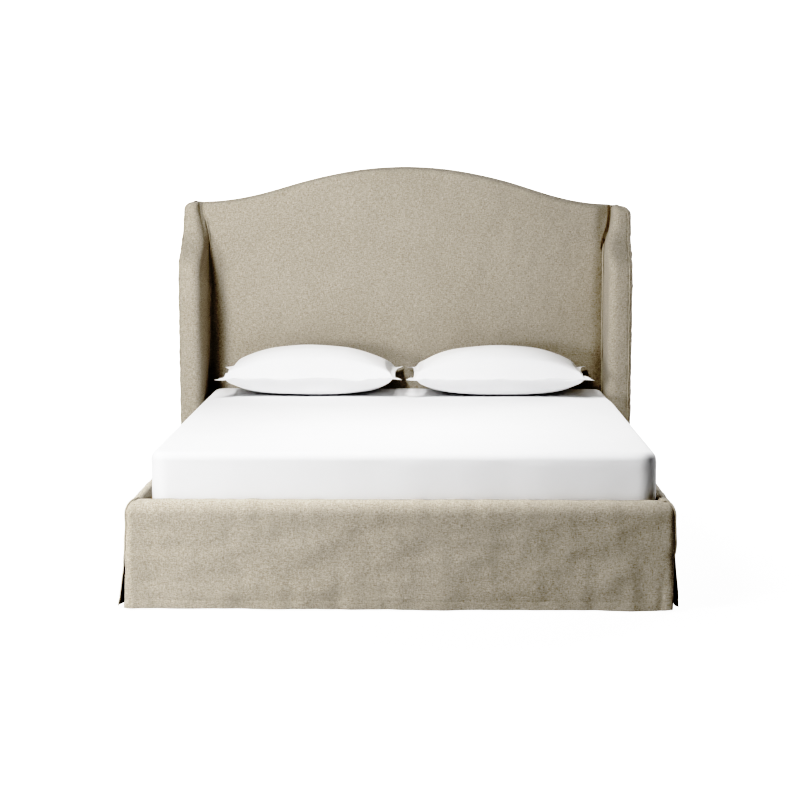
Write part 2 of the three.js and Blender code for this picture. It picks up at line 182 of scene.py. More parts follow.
def stitch_row(line, normal, pitch=0.007, length=0.0044, wide=0.0009, proud=0.0005, seed=1):
    """Vertices and faces of a row of thread stitches lying on a line of surface points."""
    line, normal = np.asarray(line, float), np.asarray(normal, float)
    s = np.concatenate([[0], np.cumsum(np.linalg.norm(np.diff(line, axis=0), axis=1))])
    rng = np.random.default_rng(seed)
    V, F = [], []
    at = np.arange(pitch, s[-1] - pitch, pitch)
    for a in at:
        ln = length * (1 + 0.12 * rng.normal())
        q = np.array([a - ln / 2, a, a + ln / 2])
        P = np.stack([np.interp(q, s, line[:, k]) for k in range(3)], 1)
        N = np.stack([np.interp(q, s, normal[:, k]) for k in range(3)], 1)
        N /= np.linalg.norm(N, axis=1, keepdims=True)
        t = P[2] - P[0]
        t /= np.linalg.norm(t)
        b = len(V)
        for k, (w, h) in enumerate(((0.35, 0.15), (1.0, 1.0), (0.35, 0.15))):
            side = np.cross(N[k], t)
            c = P[k]
            V += [c - side * wide * w - N[k] * 0.0005, c + N[k] * proud * h, c + side * wide * w - N[k] * 0.0005]
        for k in (0, 1):
            i = b + 3 * k
            F += [[i, i + 3, i + 4, i + 1], [i + 1, i + 4, i + 5, i + 2], [i + 2, i + 5, i + 3, i]]
        F += [[b, b + 1, b + 2], [b + 8, b + 7, b + 6]]
    return V, F


stitch_V, stitch_F = [], []


def add_stitches(line, normal, **kw):
    V, F = stitch_row(line, normal, **kw)
    base = len(stitch_V)
    stitch_V.extend(V)
    stitch_F.extend([[base + i for i in f] for f in F])


# ------------------------------------------------------------------ materials
def new_material(name):
    m = bpy.data.materials.new(name)
    m.use_nodes = True
    nt = m.node_tree
    nt.nodes.clear()
    out = nt.nodes.new("ShaderNodeOutputMaterial")
    b = nt.nodes.new("ShaderNodeBsdfPrincipled")
    nt.links.new(b.outputs[0], out.inputs[0])
    return m, nt, b


def N(nt, kind, **inputs):
    n = nt.nodes.new(kind)
    for k, v in inputs.items():
        if k in n.inputs:
            n.inputs[k].default_value = v
        else:
            setattr(n, k, v)
    return n


def math_node(nt, op, a, b=None):
    n = nt.nodes.new("ShaderNodeMath")
    n.operation = op
    for i, v in enumerate((a, b)):
        if v is None:
            continue
        if isinstance(v, (int, float)):
            n.inputs[i].default_value = v
        else:
            nt.links.new(v, n.inputs[i])
    return n.outputs[0]


def ramp(nt, fac, stops):
    n = nt.nodes.new("ShaderNodeValToRGB")
    e = n.color_ramp.elements
    while len(e) < len(stops):
        e.new(0.5)
    for el, (p, c) in zip(e, stops):
        el.position = p
        el.color = (*c, 1) if len(c) == 3 else c
    nt.links.new(fac, n.inputs[0])
    return n.outputs[0]


def mapped(nt, source, scale, loc=(0, 0, 0)):
    mp = nt.nodes.new("ShaderNodeMapping")
    mp.inputs["Scale"].default_value = scale
    mp.inputs["Location"].default_value = loc
    nt.links.new(source, mp.inputs[0])
    return mp.outputs[0]


def noise(nt, vec, scale=1.0, detail=2.0, rough=0.5, dist=0.0):
    n = nt.nodes.new("ShaderNodeTexNoise")
    n.inputs["Scale"].default_value = scale
    n.inputs["Detail"].default_value = detail
    n.inputs["Roughness"].default_value = rough
    n.inputs["Distortion"].default_value = dist
    nt.links.new(vec, n.inputs["Vector"])
    return n.outputs["Fac"]


def mix_rgb(nt, kind, fac, a, b):
    n = nt.nodes.new("ShaderNodeMix")
    n.data_type = "RGBA"
    n.blend_type = kind
    for sock, v in ((n.inputs[0], fac), (n.inputs[6], a), (n.inputs[7], b)):
        if isinstance(v, (int, float)):
            sock.default_value = v
        elif isinstance(v, tuple):
            sock.default_value = (*v, 1) if len(v) == 3 else v
        else:
            nt.links.new(v, sock)
    return n.outputs[2]


def linen(name, base=(0.424, 0.384, 0.318), thread=0.0013, contrast=1.0, bump=0.5):
    """Slubby plain-weave linen. The cloth's u runs along its long slubs, in metres."""
    m, nt, b = new_material(name)
    uv = N(nt, "ShaderNodeTexCoord").outputs["UV"]
    slub = noise(nt, mapped(nt, uv, (48, 170, 1)), 1, 2, 0.55)          # long slubs across the cloth
    fine = noise(nt, mapped(nt, uv, (120, 270, 1), (3.1, 1.7, 0)), 1, 2, 0.6)
    warp = noise(nt, mapped(nt, uv, (240, 50, 1), (7.7, 0.4, 0)), 1, 2, 0.55)
    speck = noise(nt, mapped(nt, uv, (420, 520, 1), (1.3, 9.1, 0)), 1, 1, 0.5)
    cloud = noise(nt, mapped(nt, uv, (2.6, 3.4, 1)), 1, 3, 0.6)
    k = contrast

    def term(x, w):
        return math_node(nt, "MULTIPLY", math_node(nt, "SUBTRACT", x, 0.5), w * k)
    total = math_node(nt, "ADD", term(slub, 0.55), term(fine, 1.00))
    total = math_node(nt, "ADD", total, term(warp, 0.62))
    total = math_node(nt, "ADD", total, term(speck, 1.15))
    total = math_node(nt, "ADD", total, term(cloud, 0.16))
    level = math_node(nt, "ADD", total, 0.5)
    r, g, bl = base
    colour = ramp(nt, level, [(0.0, (r * 0.52, g * 0.49, bl * 0.44)), (0.36, (r * 0.84, g * 0.825, bl * 0.79)),
                              (0.55, (r * 1.04, g * 1.045, bl * 1.06)), (0.80, (r * 1.30, g * 1.33, bl * 1.42)), (1.0, (r * 1.46, g * 1.52, bl * 1.68))])
    # threads over and under
    sep = N(nt, "ShaderNodeSeparateXYZ")
    nt.links.new(uv, sep.inputs[0])
    wob = noise(nt, mapped(nt, uv, (60, 60, 1)), 1, 1)
    wobble = math_node(nt, "MULTIPLY", wob, 3.0)
    su = math_node(nt, "SINE", math_node(nt, "ADD", math_node(nt, "MULTIPLY", sep.outputs[0], math.pi / thread), wobble))
    sv = math_node(nt, "SINE", math_node(nt, "ADD", math_node(nt, "MULTIPLY", sep.outputs[1], math.pi / thread), wobble))
    weave = math_node(nt, "MULTIPLY", su, sv)
    shade = math_node(nt, "ADD", math_node(nt, "MULTIPLY", weave, 0.07), 0.98)
    grey = N(nt, "ShaderNodeCombineColor")
    for i in range(3):
        nt.links.new(shade, grey.inputs[i])
    colour = mix_rgb(nt, "MULTIPLY", 1.0, colour, grey.outputs[0])
    nt.links.new(colour, b.inputs["Base Color"])
    rough = math_node(nt, "ADD", math_node(nt, "MULTIPLY", slub, 0.10), 0.86)
    nt.links.new(rough, b.inputs["Roughness"])
    b.inputs["Specular IOR Level"].default_value = 0.25
    b.inputs["Sheen Weight"].default_value = 0.12
    b.inputs["Sheen Roughness"].default_value = 0.55
    h = math_node(nt, "ADD", math_node(nt, "MULTIPLY", weave, 0.35), math_node(nt, "MULTIPLY", slub, 1.6))
    h = math_node(nt, "ADD", h, math_node(nt, "MULTIPLY", fine, 0.9))
    bp = N(nt, "ShaderNodeBump", Strength=bump, Distance=0.0009)
    nt.links.new(h, bp.inputs["Height"])
    nt.links.new(bp.outputs[0], b.inputs["Normal"])
    return m


def cotton(name, base=(0.89, 0.89, 0.895), bump=0.25):
    """Smooth percale with a faint weave and soft creases."""
    m, nt, b = new_material(name)
    uv = N(nt, "ShaderNodeTexCoord").outputs["UV"]
    soft = noise(nt, mapped(nt, uv, (7, 7, 1)), 1, 3, 0.55)
    crease = noise(nt, mapped(nt, uv, (28, 46, 1), (2, 5, 0)), 1, 3, 0.5, 0.6)
    thread = noise(nt, mapped(nt, uv, (900, 1400, 1)), 1, 1)
    lvl = math_node(nt, "ADD", math_node(nt, "MULTIPLY", soft, 0.5), math_node(nt, "MULTIPLY", thread, 0.5))
    r, g, bl = base
    nt.links.new(ramp(nt, lvl, [(0.25, (r * 0.972, g * 0.972, bl * 0.974)), (0.75, (min(1, r * 1.02), min(1, g * 1.02), min(1, bl * 1.02)))]), b.inputs["Base Color"])
    rough = math_node(nt, "ADD", math_node(nt, "MULTIPLY", soft, 0.1), 0.78)
    nt.links.new(rough, b.inputs["Roughness"])
    b.inputs["Specular IOR Level"].default_value = 0.3
    b.inputs["Sheen Weight"].default_value = 0.1
    h = math_node(nt, "ADD", math_node(nt, "MULTIPLY", crease, 0.35), math_node(nt, "MULTIPLY", thread, 0.10))
    bp = N(nt, "ShaderNodeBump", Strength=bump, Distance=0.0015)
    nt.links.new(h, bp.inputs["Height"])
    nt.links.new(bp.outputs[0], b.inputs["Normal"])
    return m


def object_coords(nt):
    return N(nt, "ShaderNodeTexCoord").outputs["Object"]


def wood(name, base, dark, axis=0, ply=False):
    """Softwood or plywood with grain along the piece."""
    m, nt, b = new_material(name)
    co = object_coords(nt)
    sc = [9.0, 9.0, 9.0]
    sc[axis] = 0.7
    g1 = noise(nt, mapped(nt, co, tuple(sc)), 2.2, 5, 0.62, 0.8)
    ring = math_node(nt, "FRACT", math_node(nt, "MULTIPLY", g1, 9.0))
    sc2 = [220.0, 220.0, 220.0]
    sc2[axis] = 6.0
    fib = noise(nt, mapped(nt, co, tuple(sc2)), 1, 3, 0.6)
    v = math_node(nt, "ADD", math_node(nt, "MULTIPLY", ring, 0.55), math_node(nt, "MULTIPLY", fib, 0.45))
    nt.links.new(ramp(nt, v, [(0.1, dark), (0.55, base), (0.95, tuple(min(1, c * 1.18) for c in base))]), b.inputs["Base Color"])
    nt.links.new(math_node(nt, "ADD", math_node(nt, "MULTIPLY", fib, 0.22), 0.48), b.inputs["Roughness"])
    bp = N(nt, "ShaderNodeBump", Strength=0.3, Distance=0.0006)
    nt.links.new(v, bp.inputs["Height"])
    nt.links.new(bp.outputs[0], b.inputs["Normal"])
    return m


def foam_material(name, base):
    m, nt, b = new_material(name)
    co = object_coords(nt)
    cell = N(nt, "ShaderNodeTexVoronoi", Scale=420.0)
    nt.links.new(co, cell.inputs["Vector"])
    big = noise(nt, co, 6, 3)
    v = math_node(nt, "ADD", math_node(nt, "MULTIPLY", cell.outputs["Distance"], 0.5), math_node(nt, "MULTIPLY", big, 0.6))
    nt.links.new(ramp(nt, v, [(0.1, tuple(c * 0.82 for c in base)), (0.8, base)]), b.inputs["Base Color"])
    nt.links.new(math_node(nt, "ADD", math_node(nt, "MULTIPLY", big, 0.1), 0.86), b.inputs["Roughness"])
    bp = N(nt, "ShaderNodeBump", Strength=0.4, Distance=0.001)
    nt.links.new(cell.outputs["Distance"], bp.inputs["Height"])
    nt.links.new(bp.outputs[0], b.inputs["Normal"])
    return m


def steel_material(name):
    m, nt, b = new_material(name)
    co = object_coords(nt)
    spangle = N(nt, "ShaderNodeTexVoronoi", Scale=110.0)
    nt.links.new(co, spangle.inputs["Vector"])
    br = noise(nt, mapped(nt, co, (40, 40, 900)), 1, 2)
    nt.links.new(ramp(nt, spangle.outputs["Color"], [(0.0, (0.42, 0.43, 0.45)), (1.0, (0.62, 0.63, 0.65))]), b.inputs["Base Color"])
    nt.links.new(math_node(nt, "ADD", math_node(nt, "MULTIPLY", br, 0.2), 0.28), b.inputs["Roughness"])
    b.inputs["Metallic"].default_value = 1.0
    return m


def plastic_material(name):
    m, nt, b = new_material(name)
    co = object_coords(nt)
    n1 = noise(nt, co, 300, 2)
    nt.links.new(ramp(nt, n1, [(0.2, (0.025, 0.025, 0.026)), (0.8, (0.05, 0.05, 0.052))]), b.inputs["Base Color"])
    nt.links.new(math_node(nt, "ADD", math_node(nt, "MULTIPLY", n1, 0.2), 0.4), b.inputs["Roughness"])
    return m


M_LINEN = linen("linen_cover")
M_WELT = linen("linen_welt", base=(0.455, 0.412, 0.335), contrast=0.7, bump=0.3)
M_THREAD = linen("linen_thread", base=(0.50, 0.46, 0.385), thread=0.0006, contrast=0.5, bump=0.2)
M_COTTON = cotton("white_cotton")
M_TICK = cotton("ticking", base=(0.80, 0.79, 0.76), bump=0.35)
M_PINE_X = wood("pine_x", (0.66, 0.47, 0.26), (0.44, 0.27, 0.12), 0)
M_PINE_Y = wood("pine_y", (0.66, 0.47, 0.26), (0.44, 0.27, 0.12), 1)
M_PINE_Z = wood("pine_z", (0.66, 0.47, 0.26), (0.44, 0.27, 0.12), 2)
M_PLY = wood("plywood", (0.56, 0.40, 0.23), (0.40, 0.26, 0.13), 2)
M_FOAM = foam_material("padding", (0.80, 0.74, 0.58))
M_STEEL = steel_material("zinc_steel")
M_PLASTIC = plastic_material("glide_plastic")

for n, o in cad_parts.items():
    if n.startswith(("slat_0", "slat_1", "foot_rail", "headboard_mid", "headboard_bottom", "headboard_top_rail")):
        mat = M_PINE_X
    elif n.startswith(("side_rail", "slat_ledge", "centre_beam")):
        mat = M_PINE_Y
    elif n.startswith(("headboard_post", "headboard_stile", "foot_leg", "centre_leg")):
        mat = M_PINE_Z
    elif n.startswith(("headboard_front_board", "headboard_back_board", "wing_frame")):
        mat = M_PLY
    elif "foam" in n:
        mat = M_FOAM
    elif n.startswith(("rail_bracket", "beam_hanger", "levelling")):
        mat = M_STEEL
    elif n.startswith("glide"):
        mat = M_PLASTIC
    elif n in ("mattress", "pillow_insert_left", "pillow_insert_right"):
        mat = M_TICK
    elif n.startswith(("fitted", "pillowcase")):
        mat = M_COTTON
    else:
        mat = M_LINEN
    if not o.data.materials:
        o.data.materials.append(mat)
    for i in range(len(o.data.materials)):
        o.data.materials[i] = mat


# ------------------------------------------------------------------ the bed's outlines, metres
PANEL_Y = 1.003
BACK_Y = 1.1025
WING_OUT, WING_IN, WING_IN_TOP = 1.083, 0.972, 1.000
CORNER_R, CORNER_Z = 0.048, 1.446
HEM = 0.006
camel = [[0, 1.666], [.120, 1.661], [.220, 1.651], [.316, 1.635], [.411, 1.615], [.510, 1.590],
         [.608, 1.561], [.705, 1.534], [.803, 1.513], [.900, 1.500], [1.000, 1.495], [1.035, 1.494], [1.3, 1.494]]
T = smooth_curve([[-x, z] for x, z in camel[::-1]][:-1] + camel, -1.3, 1.3, 0.022)
wing_edge = [[0, .745], [1.150, .745], [1.180, .750], [1.210, .763], [1.240, .790], [1.270, .832],
             [1.300, .878], [1.330, .915], [1.360, .938], [1.400, .955], [1.440, .965], [1.560, .972]]
F_edge = smooth_curve(wing_edge, -0.2, 1.6, 0.014)
T_even = T
TOP_Z = {"left": 1.497, "right": 1.479}


def T(x):
    """Top of the padded panel. The cover sits a little lower at the right end."""
    return T_even(x) - 0.002 - 0.012 * smoothstep(0.45, 0.95, x) - 0.009 * smoothstep(0.992, 1.022, x) - 0.003 * smoothstep(0.992, 1.022, -x)


def outline_top(x):
    """Height of the headboard's outline, rounded corners included."""
    x = np.asarray(x, float)
    a = np.abs(x)
    top = np.where(x > 0, TOP_Z["right"], TOP_Z["left"])
    arc = top - CORNER_R + np.sqrt(np.maximum(CORNER_R ** 2 - np.clip(a - (WING_OUT - CORNER_R), 0, CORNER_R) ** 2, 0))
    mix = smoothstep(0.985, 1.02, a)
    return np.where(a > WING_OUT - CORNER_R, arc, T_even(x) * 0 + (1 - mix) * T(x) + mix * top)


# ------------------------------------------------------------------ headboard: front panel of the cover
def front_panel():
    side = np.arange(0.90, 1.0121, 0.0045)
    xs = np.unique(np.round(np.concatenate([np.linspace(-0.90, 0.90, 181), side, -side]), 5))
    r, z0 = 0.022, 0.292
    rows = []
    for f in np.linspace(0, 1, 128):
        rows.append(("f", f))
    for a in np.linspace(0, math.pi / 2, 9)[1:]:
        rows.append(("a", a))
    for y in (0.026, 0.031):
        rows.append(("t", y))
    G = np.zeros((len(rows), len(xs), 3))
    fade = np.ones((len(rows), len(xs)))
    for i, (k, v) in enumerate(rows):
        top = T(xs)
        if k == "f":
            z = z0 + v * (top - r - z0)
            y = np.full_like(xs, PANEL_Y)
        elif k == "a":
            z = top - r + r * math.sin(v)
            y = PANEL_Y + r - r * math.cos(v) + 0 * xs
            fade[i] = math.cos(v)
        else:
            z, y = top, PANEL_Y + v + 0 * xs
            fade[i] = 0
        G[i] = np.stack([xs, y, z], 1)
    X, Z = G[..., 0], G[..., 2]
    a = np.abs(X)
    P = np.stack([X, Z], -1)
    bulge = 0.007 * (1 - np.clip(a / 0.95, 0, 1) ** 6) * smoothstep(0, 0.14, T(X) - Z)
    sink = 0.024 * smoothstep(0.895, 0.985, a) ** 1.7 + 0.008 * smoothstep(0.97, 1.0, a)
    sink = sink * np.where(X < 0, 1 - 0.75 * smoothstep(1.33, 1.46, Z), 1.0)
    edge_r = 0.966 + 0.038 * smoothstep(1.26, 1.43, Z)                       # where the right wing's inner face meets the panel
    sink = sink + 0.030 * smoothstep(1.24, 1.34, Z) * smoothstep(edge_r - 0.016, edge_r - 0.001, X)
    sink = np.minimum(sink, 0.037 + 0.009 * smoothstep(0.9855, 0.991, X))      # never behind the board
    d = bulge - sink
    d += 0.0011 * waves(P, 11, 0.16, 0.55)                                  # slack in the cloth
    d += 0.0006 * waves(P, 12, 0.05, 0.14, stretch=(1, 0.5))
    near = np.exp(-(0.975 - np.minimum(a, 0.975)) / 0.05)
    d += 0.0012 * near * waves(np.stack([Z, Z * 0 + np.sign(X)], -1), 13, 0.035, 0.09)
    near_top = np.exp(-np.maximum(T(X) - Z - 0.01, 0) / 0.035)
    d += 0.0008 * near_top * waves(np.stack([X, X * 0], -1), 14, 0.05, 0.13)
    G[..., 1] -= d * fade
    uv = np.stack([X, arc_lengths(G, 0) + 0.3], -1)
    o = grid_object("headboard_front_panel", G, uv, M_LINEN, thick=0.002, flip=True)
    return o, G


panel, panel_G = front_panel()


def top_band():
    xs = np.linspace(-1.028, 1.028, 240)
    ys = np.linspace(PANEL_Y + 0.031, 1.098, 9)
    G = np.zeros((len(ys), len(xs), 3))
    for i, y in enumerate(ys):
        s = (y - ys[0]) / (ys[-1] - ys[0])
        z = T(xs) + 0.0025 * (1 - (2 * s - 1) ** 2) + 0.0008 * waves(np.stack([xs, xs * 0 + y], -1), 21, 0.05, 0.16) * math.sin(math.pi * s)
        G[i] = np.stack([xs, np.full_like(xs, y), z], 1)
    uv = np.stack([G[..., 0], G[..., 1]], -1)
    return grid_object("headboard_top_band", G, uv, M_LINEN, thick=0.002, flip=True)


band = top_band()


def back_panel():
    xs = np.unique(np.round(np.concatenate([np.linspace(-1.03, 1.03, 176), np.linspace(1.03, 1.0825, 12), -np.linspace(1.03, 1.0825, 12)]), 5))
    f = np.concatenate([[0, 0.002], np.linspace(0.004, 0.985, 118), [0.99, 0.994, 0.997, 1.0]])
    G = np.zeros((len(f), len(xs), 3))
    top = outline_top(xs)
    for i, v in enumerate(f):
        G[i] = np.stack([xs, np.full_like(xs, BACK_Y + 0.002), HEM + v * (top - HEM)], 1)
    X, Z = G[..., 0], G[..., 2]
    P = np.stack([X, Z], -1)
    edge = np.minimum(outline_top(X) - Z, WING_OUT - np.abs(X))
    y = -0.009 * (1 - smoothstep(0, 0.012, edge))
    low = 1 - smoothstep(0.05, 1.1, Z)
    y = y + 0.0022 * smoothstep(0, 0.06, edge) * (0.35 + low) * waves(P, 31, 0.22, 0.7, stretch=(1, 0.35))
    y = y + 0.0008 * smoothstep(0, 0.03, edge) * waves(P, 32, 0.06, 0.16, stretch=(1, 0.5))
    y = y + 0.0018 * (1 - smoothstep(0.0, 0.3, Z)) * (1 + waves(np.stack([X, X * 0], -1), 33, 0.12, 0.34))
    y = y - 0.0011 * np.exp(-((Z - 0.036) / 0.0035) ** 2)
    y = np.where(edge > 0.010, np.maximum(y, -0.0018), y)
    G[..., 1] += y
    G[..., 2] += (1 - smoothstep(0, 0.2, Z)) * 0.0010 * (1 + waves(np.stack([X, X * 0], -1), 34, 0.18, 0.6))
    uv = np.stack([X + 5, Z], -1)
    return grid_object("headboard_back_panel", G, uv, M_LINEN, thick=0.002, flip=False), G


back, back_G = back_panel()


# ------------------------------------------------------------------ wings
def wing_sections(side, seed):
    """A wing, drawn on the right, as rings of points, one per height, from the hem to the rounded top."""
    tag = "right" if side > 0 else "left"
    top = TOP_Z[tag]
    cz = top - CORNER_R
    zs = np.concatenate([[HEM, 0.010], np.linspace(0.018, 1.13, 94), np.linspace(1.138, cz, 46),
                         cz + CORNER_R * np.sin(np.linspace(0, math.pi / 2, 14))[1:]])
    rings = []
    for z in zs:
        up = float(smoothstep(0.62, 0.80, z))
        if side > 0:                                                          # inner face: at its front edge, and where it meets the panel
            k = float(smoothstep(1.26, 1.43, z))
            xf = 0.972 + 0.034 * k
            xp = 0.972 - 0.003 * up + 0.035 * k
        else:
            k = float(smoothstep(1.29, 1.50, z))
            xf = 0.972 + 0.036 * k
            xp = 0.972 - 0.013 * up + 0.029 * k
        out = WING_OUT + (0.012 * float(smoothstep(1.22, 1.40, z)) if side > 0 else -0.004)
        xo = out if z <= cz else out - CORNER_R + math.sqrt(max(CORNER_R ** 2 - (z - cz) ** 2, 0))
        rt = 0.024
        e = rt - math.sqrt(max(rt ** 2 - max(z - (top - rt), 0) ** 2, 0))
        yf = float(F_edge(z)) + e
        xf = min(xf + 0.4 * e, 1.0075)
        xp = min(xp + 0.4 * e, 1.0075)
        yb = 1.101
        w = xo - xf
        ri, ro, rb = min(0.040, 0.42 * w), min(0.016 if side > 0 else 0.024, 0.36 * w), min(0.008, 0.2 * w)
        pts = []
        for v in np.linspace(0, 1, 22):
            y = yb + (yf + ri - yb) * v
            t = float(np.clip((y - (yf + ri)) / max(1.0 - yf - ri, 0.02), 0, 1))
            pts.append((xf + (xp - xf) * t, y))
        for a in np.linspace(math.pi, 1.5 * math.pi, 10)[1:]:
            pts.append((xf + ri + ri * math.cos(a), yf + ri + ri * math.sin(a)))
        x0, x1 = xf + ri, xo - ro
        for x in np.linspace(x0, x1 - 0.004, 9)[1:]:
            pts.append((x, yf))
        pts.append((x1 - 0.002, yf))
        seam_k = len(pts) if side > 0 else len(pts) + 6
        for a in np.linspace(1.5 * math.pi, 2 * math.pi, 10):
            pts.append((xo - ro + ro * math.cos(a), yf + ro + ro * math.sin(a)))
        for v in np.linspace(0, 1, 32)[1:]:
            pts.append((xo, yf + ro + (yb - rb - yf - ro) * v))
        for a in np.linspace(0, 0.5 * math.pi, 4)[1:]:
            pts.append((xo - rb + rb * math.cos(a), yb - rb + rb * math.sin(a)))
        for v in np.linspace(0, 1, 6)[1:-1]:
            pts.append((xo - rb + (pts[0][0] - xo + rb) * v, yb))
        rings.append([(x, y, z) for x, y in pts])
    return np.array(rings), zs, seam_k, top


def wing(side, seed):
    R, zs, sk, WING_TOP = wing_sections(side, seed)
    nz, ns = R.shape[:2]
    du = np.roll(R, -1, 1) - np.roll(R, 1, 1)
    dz = np.gradient(R, axis=0)
    Nn = np.cross(du, dz)
    Nn /= np.maximum(np.linalg.norm(Nn, axis=-1, keepdims=True), 1e-9)
    X, Y, Z = R[..., 0], R[..., 1], R[..., 2]
    k = np.arange(ns)[None, :] + 0 * X
    front = np.clip(-Nn[..., 1], 0, 1)
    outer = np.clip(Nn[..., 0], 0, 1)
    inner = np.clip(-Nn[..., 0], 0, 1)
    # the boxing strip is filled out, the seam beside it is pulled in
    xi, xo = X.min(1, keepdims=True), X.max(1, keepdims=True)
    mid = (X - (xi + xo) / 2) / np.maximum((xo - xi) / 2, 1e-3)
    w = (xo - xi) / 0.111
    d = 0.004 * front * (1 - np.clip(mid, -1, 1) ** 2) * np.clip(w, 0, 1)
    ring_len = arc_lengths(np.concatenate([R, R[:, :1]], 1), 1)
    from_seam = ring_len[:, :-1] - ring_len[:, sk][:, None]
    d -= 0.0035 * np.exp(-(from_seam / 0.0042) ** 2) * smoothstep(0.0, 0.05, w)
    body = smoothstep(0.0, 0.03, WING_TOP - Z)
    P = np.stack([Y, Z], -1)
    puck = waves(np.stack([Z, Z * 0], -1), seed + 1, 0.022, 0.06)
    back_of_seam = (k > sk)
    near = np.exp(-np.maximum(from_seam - 0.012, 0) / 0.03) * smoothstep(0.001, 0.008, from_seam) * back_of_seam
    d += body * (0.0011 if side > 0 else 0.0006) * near * puck
    slack = smoothstep(0.03, 0.14, from_seam)
    d += body * outer * (slack * 0.0024 * waves(P, seed + 2, 0.20, 0.6, stretch=(1, 0.45)) + 0.0005 * waves(P, seed + 3, 0.05, 0.14))
    d += body * inner * (0.0012 * waves(P, seed + 4, 0.15, 0.4))
    d += body * front * 0.0008 * waves(np.stack([X, Z], -1), seed + 5, 0.07, 0.26, stretch=(1, 0.6))
    # diagonal drag where the front edge swings back
    s_zone = np.exp(-((Z - 1.24) / 0.10) ** 2) * outer
    d += 0.0012 * s_zone * np.sin((Z + 1.2 * Y) * 2 * math.pi / 0.085) * np.exp(-np.maximum(Y - 0.86, 0) / 0.12)
    flare = (1 - smoothstep(0.0, 0.45, Z)) * (outer + front)
    d += flare * (0.0030 + 0.0018 * waves(np.stack([Y + X, Y * 0], -1), seed + 6, 0.12, 0.4))
    d -= 0.0011 * np.exp(-((Z - 0.036) / 0.0035) ** 2) * (outer + front)
    rear = np.clip(Nn[..., 1], 0, 1)
    d *= (1 - rear)
    G = R + Nn * d[..., None]
    G[..., 2] += (1 - smoothstep(0, 0.15, Z)) * 0.001 * (1 + waves(np.stack([X, Y], -1), seed + 7, 0.15, 0.5))
    u = from_seam
    # cap rings towards a line along the top
    V = [G.reshape(-1, 3)]
    uv = [np.stack([u + 2.0 * seed, Z], -1).reshape(-1, 2)]
    F = [list(f) for f in grid_faces(nz, ns, wrap=True, flip=True)]
    last = G[-1]
    xc = (last[:, 0].min() + last[:, 0].max()) / 2
    ya, yb = last[:, 1].min() + 0.016, last[:, 1].max() - 0.012
    prev = (nz - 1) * ns
    for q, up in ((0.3, 0.0010), (0.6, 0.0018), (0.85, 0.0022)):
        ring = last.copy()
        tgt_y = np.clip(last[:, 1], ya, yb)
        ring[:, 0] = last[:, 0] + q * (xc - last[:, 0])
        ring[:, 1] = last[:, 1] + q * (tgt_y - last[:, 1])
        ring[:, 2] += up
        base = sum(len(v) for v in V)
        V.append(ring)
        uv.append(np.stack([u[-1] + 2.0 * seed, np.full(ns, WING_TOP + 0.02 * q)], -1))
        for j in range(ns):
            kk = (j + 1) % ns
            F.append([prev + j, prev + kk, base + kk, base + j])
        prev = base
    F.append([prev + j for j in range(ns)])
    # hem: the cloth turns in and up
    first = G[0]
    c = np.array([(first[:, 0].min() + first[:, 0].max()) / 2, (first[:, 1].min() + first[:, 1].max()) / 2, 0])
    base = sum(len(v) for v in V)
    ring = first.copy()
    ring[:, :2] += (c[:2] - first[:, :2]) / np.maximum(np.linalg.norm(c[:2] - first[:, :2], axis=1, keepdims=True), 1e-6) * 0.003
    V.append(ring)
    ring2 = ring.copy()
    ring2[:, 2] += 0.05
    V.append(ring2)
    uv.append(np.stack([u[0] + 2.0 * seed, np.full(ns, 0.003)], -1))
    uv.append(np.stack([u[0] + 2.0 * seed, np.full(ns, 0.053)], -1))
    for j in range(ns):
        kk = (j + 1) % ns
        F.append([kk, j, base + j, base + kk])
        F.append([base + kk, base + j, base + ns + j, base + ns + kk])
    F.append([base + ns + j for j in range(ns)][::-1])
    V = np.concatenate(V)
    uv = np.concatenate(uv)
    if side < 0:
        V = V * np.array([-1, 1, 1])
        F = [f[::-1] for f in F]
        G = G * np.array([-1, 1, 1])
        Nn = Nn * np.array([-1, 1, 1])
    tag = "left" if side < 0 else "right"
    o = mesh_from(f"headboard_wing_{tag}", V, F, uv, M_LINEN)
    return o, G, Nn, sk, R * np.array([side, 1, 1]), WING_TOP


wings = {}
for side, tag, seed in ((-1, "left", 41), (1, "right", 61)):
    wings[tag] = wing(side, seed)

welts = []


def resample(P, step):
    P = np.asarray(P, float)
    s = np.concatenate([[0], np.cumsum(np.linalg.norm(np.diff(P, axis=0), axis=1))])
    keep = np.concatenate([[True], np.diff(s) > 1e-6])
    P, s = P[keep], s[keep]
    q = np.linspace(0, s[-1], max(int(s[-1] / step), 3))
    return np.stack([np.interp(q, s, P[:, k]) for k in range(3)], 1)


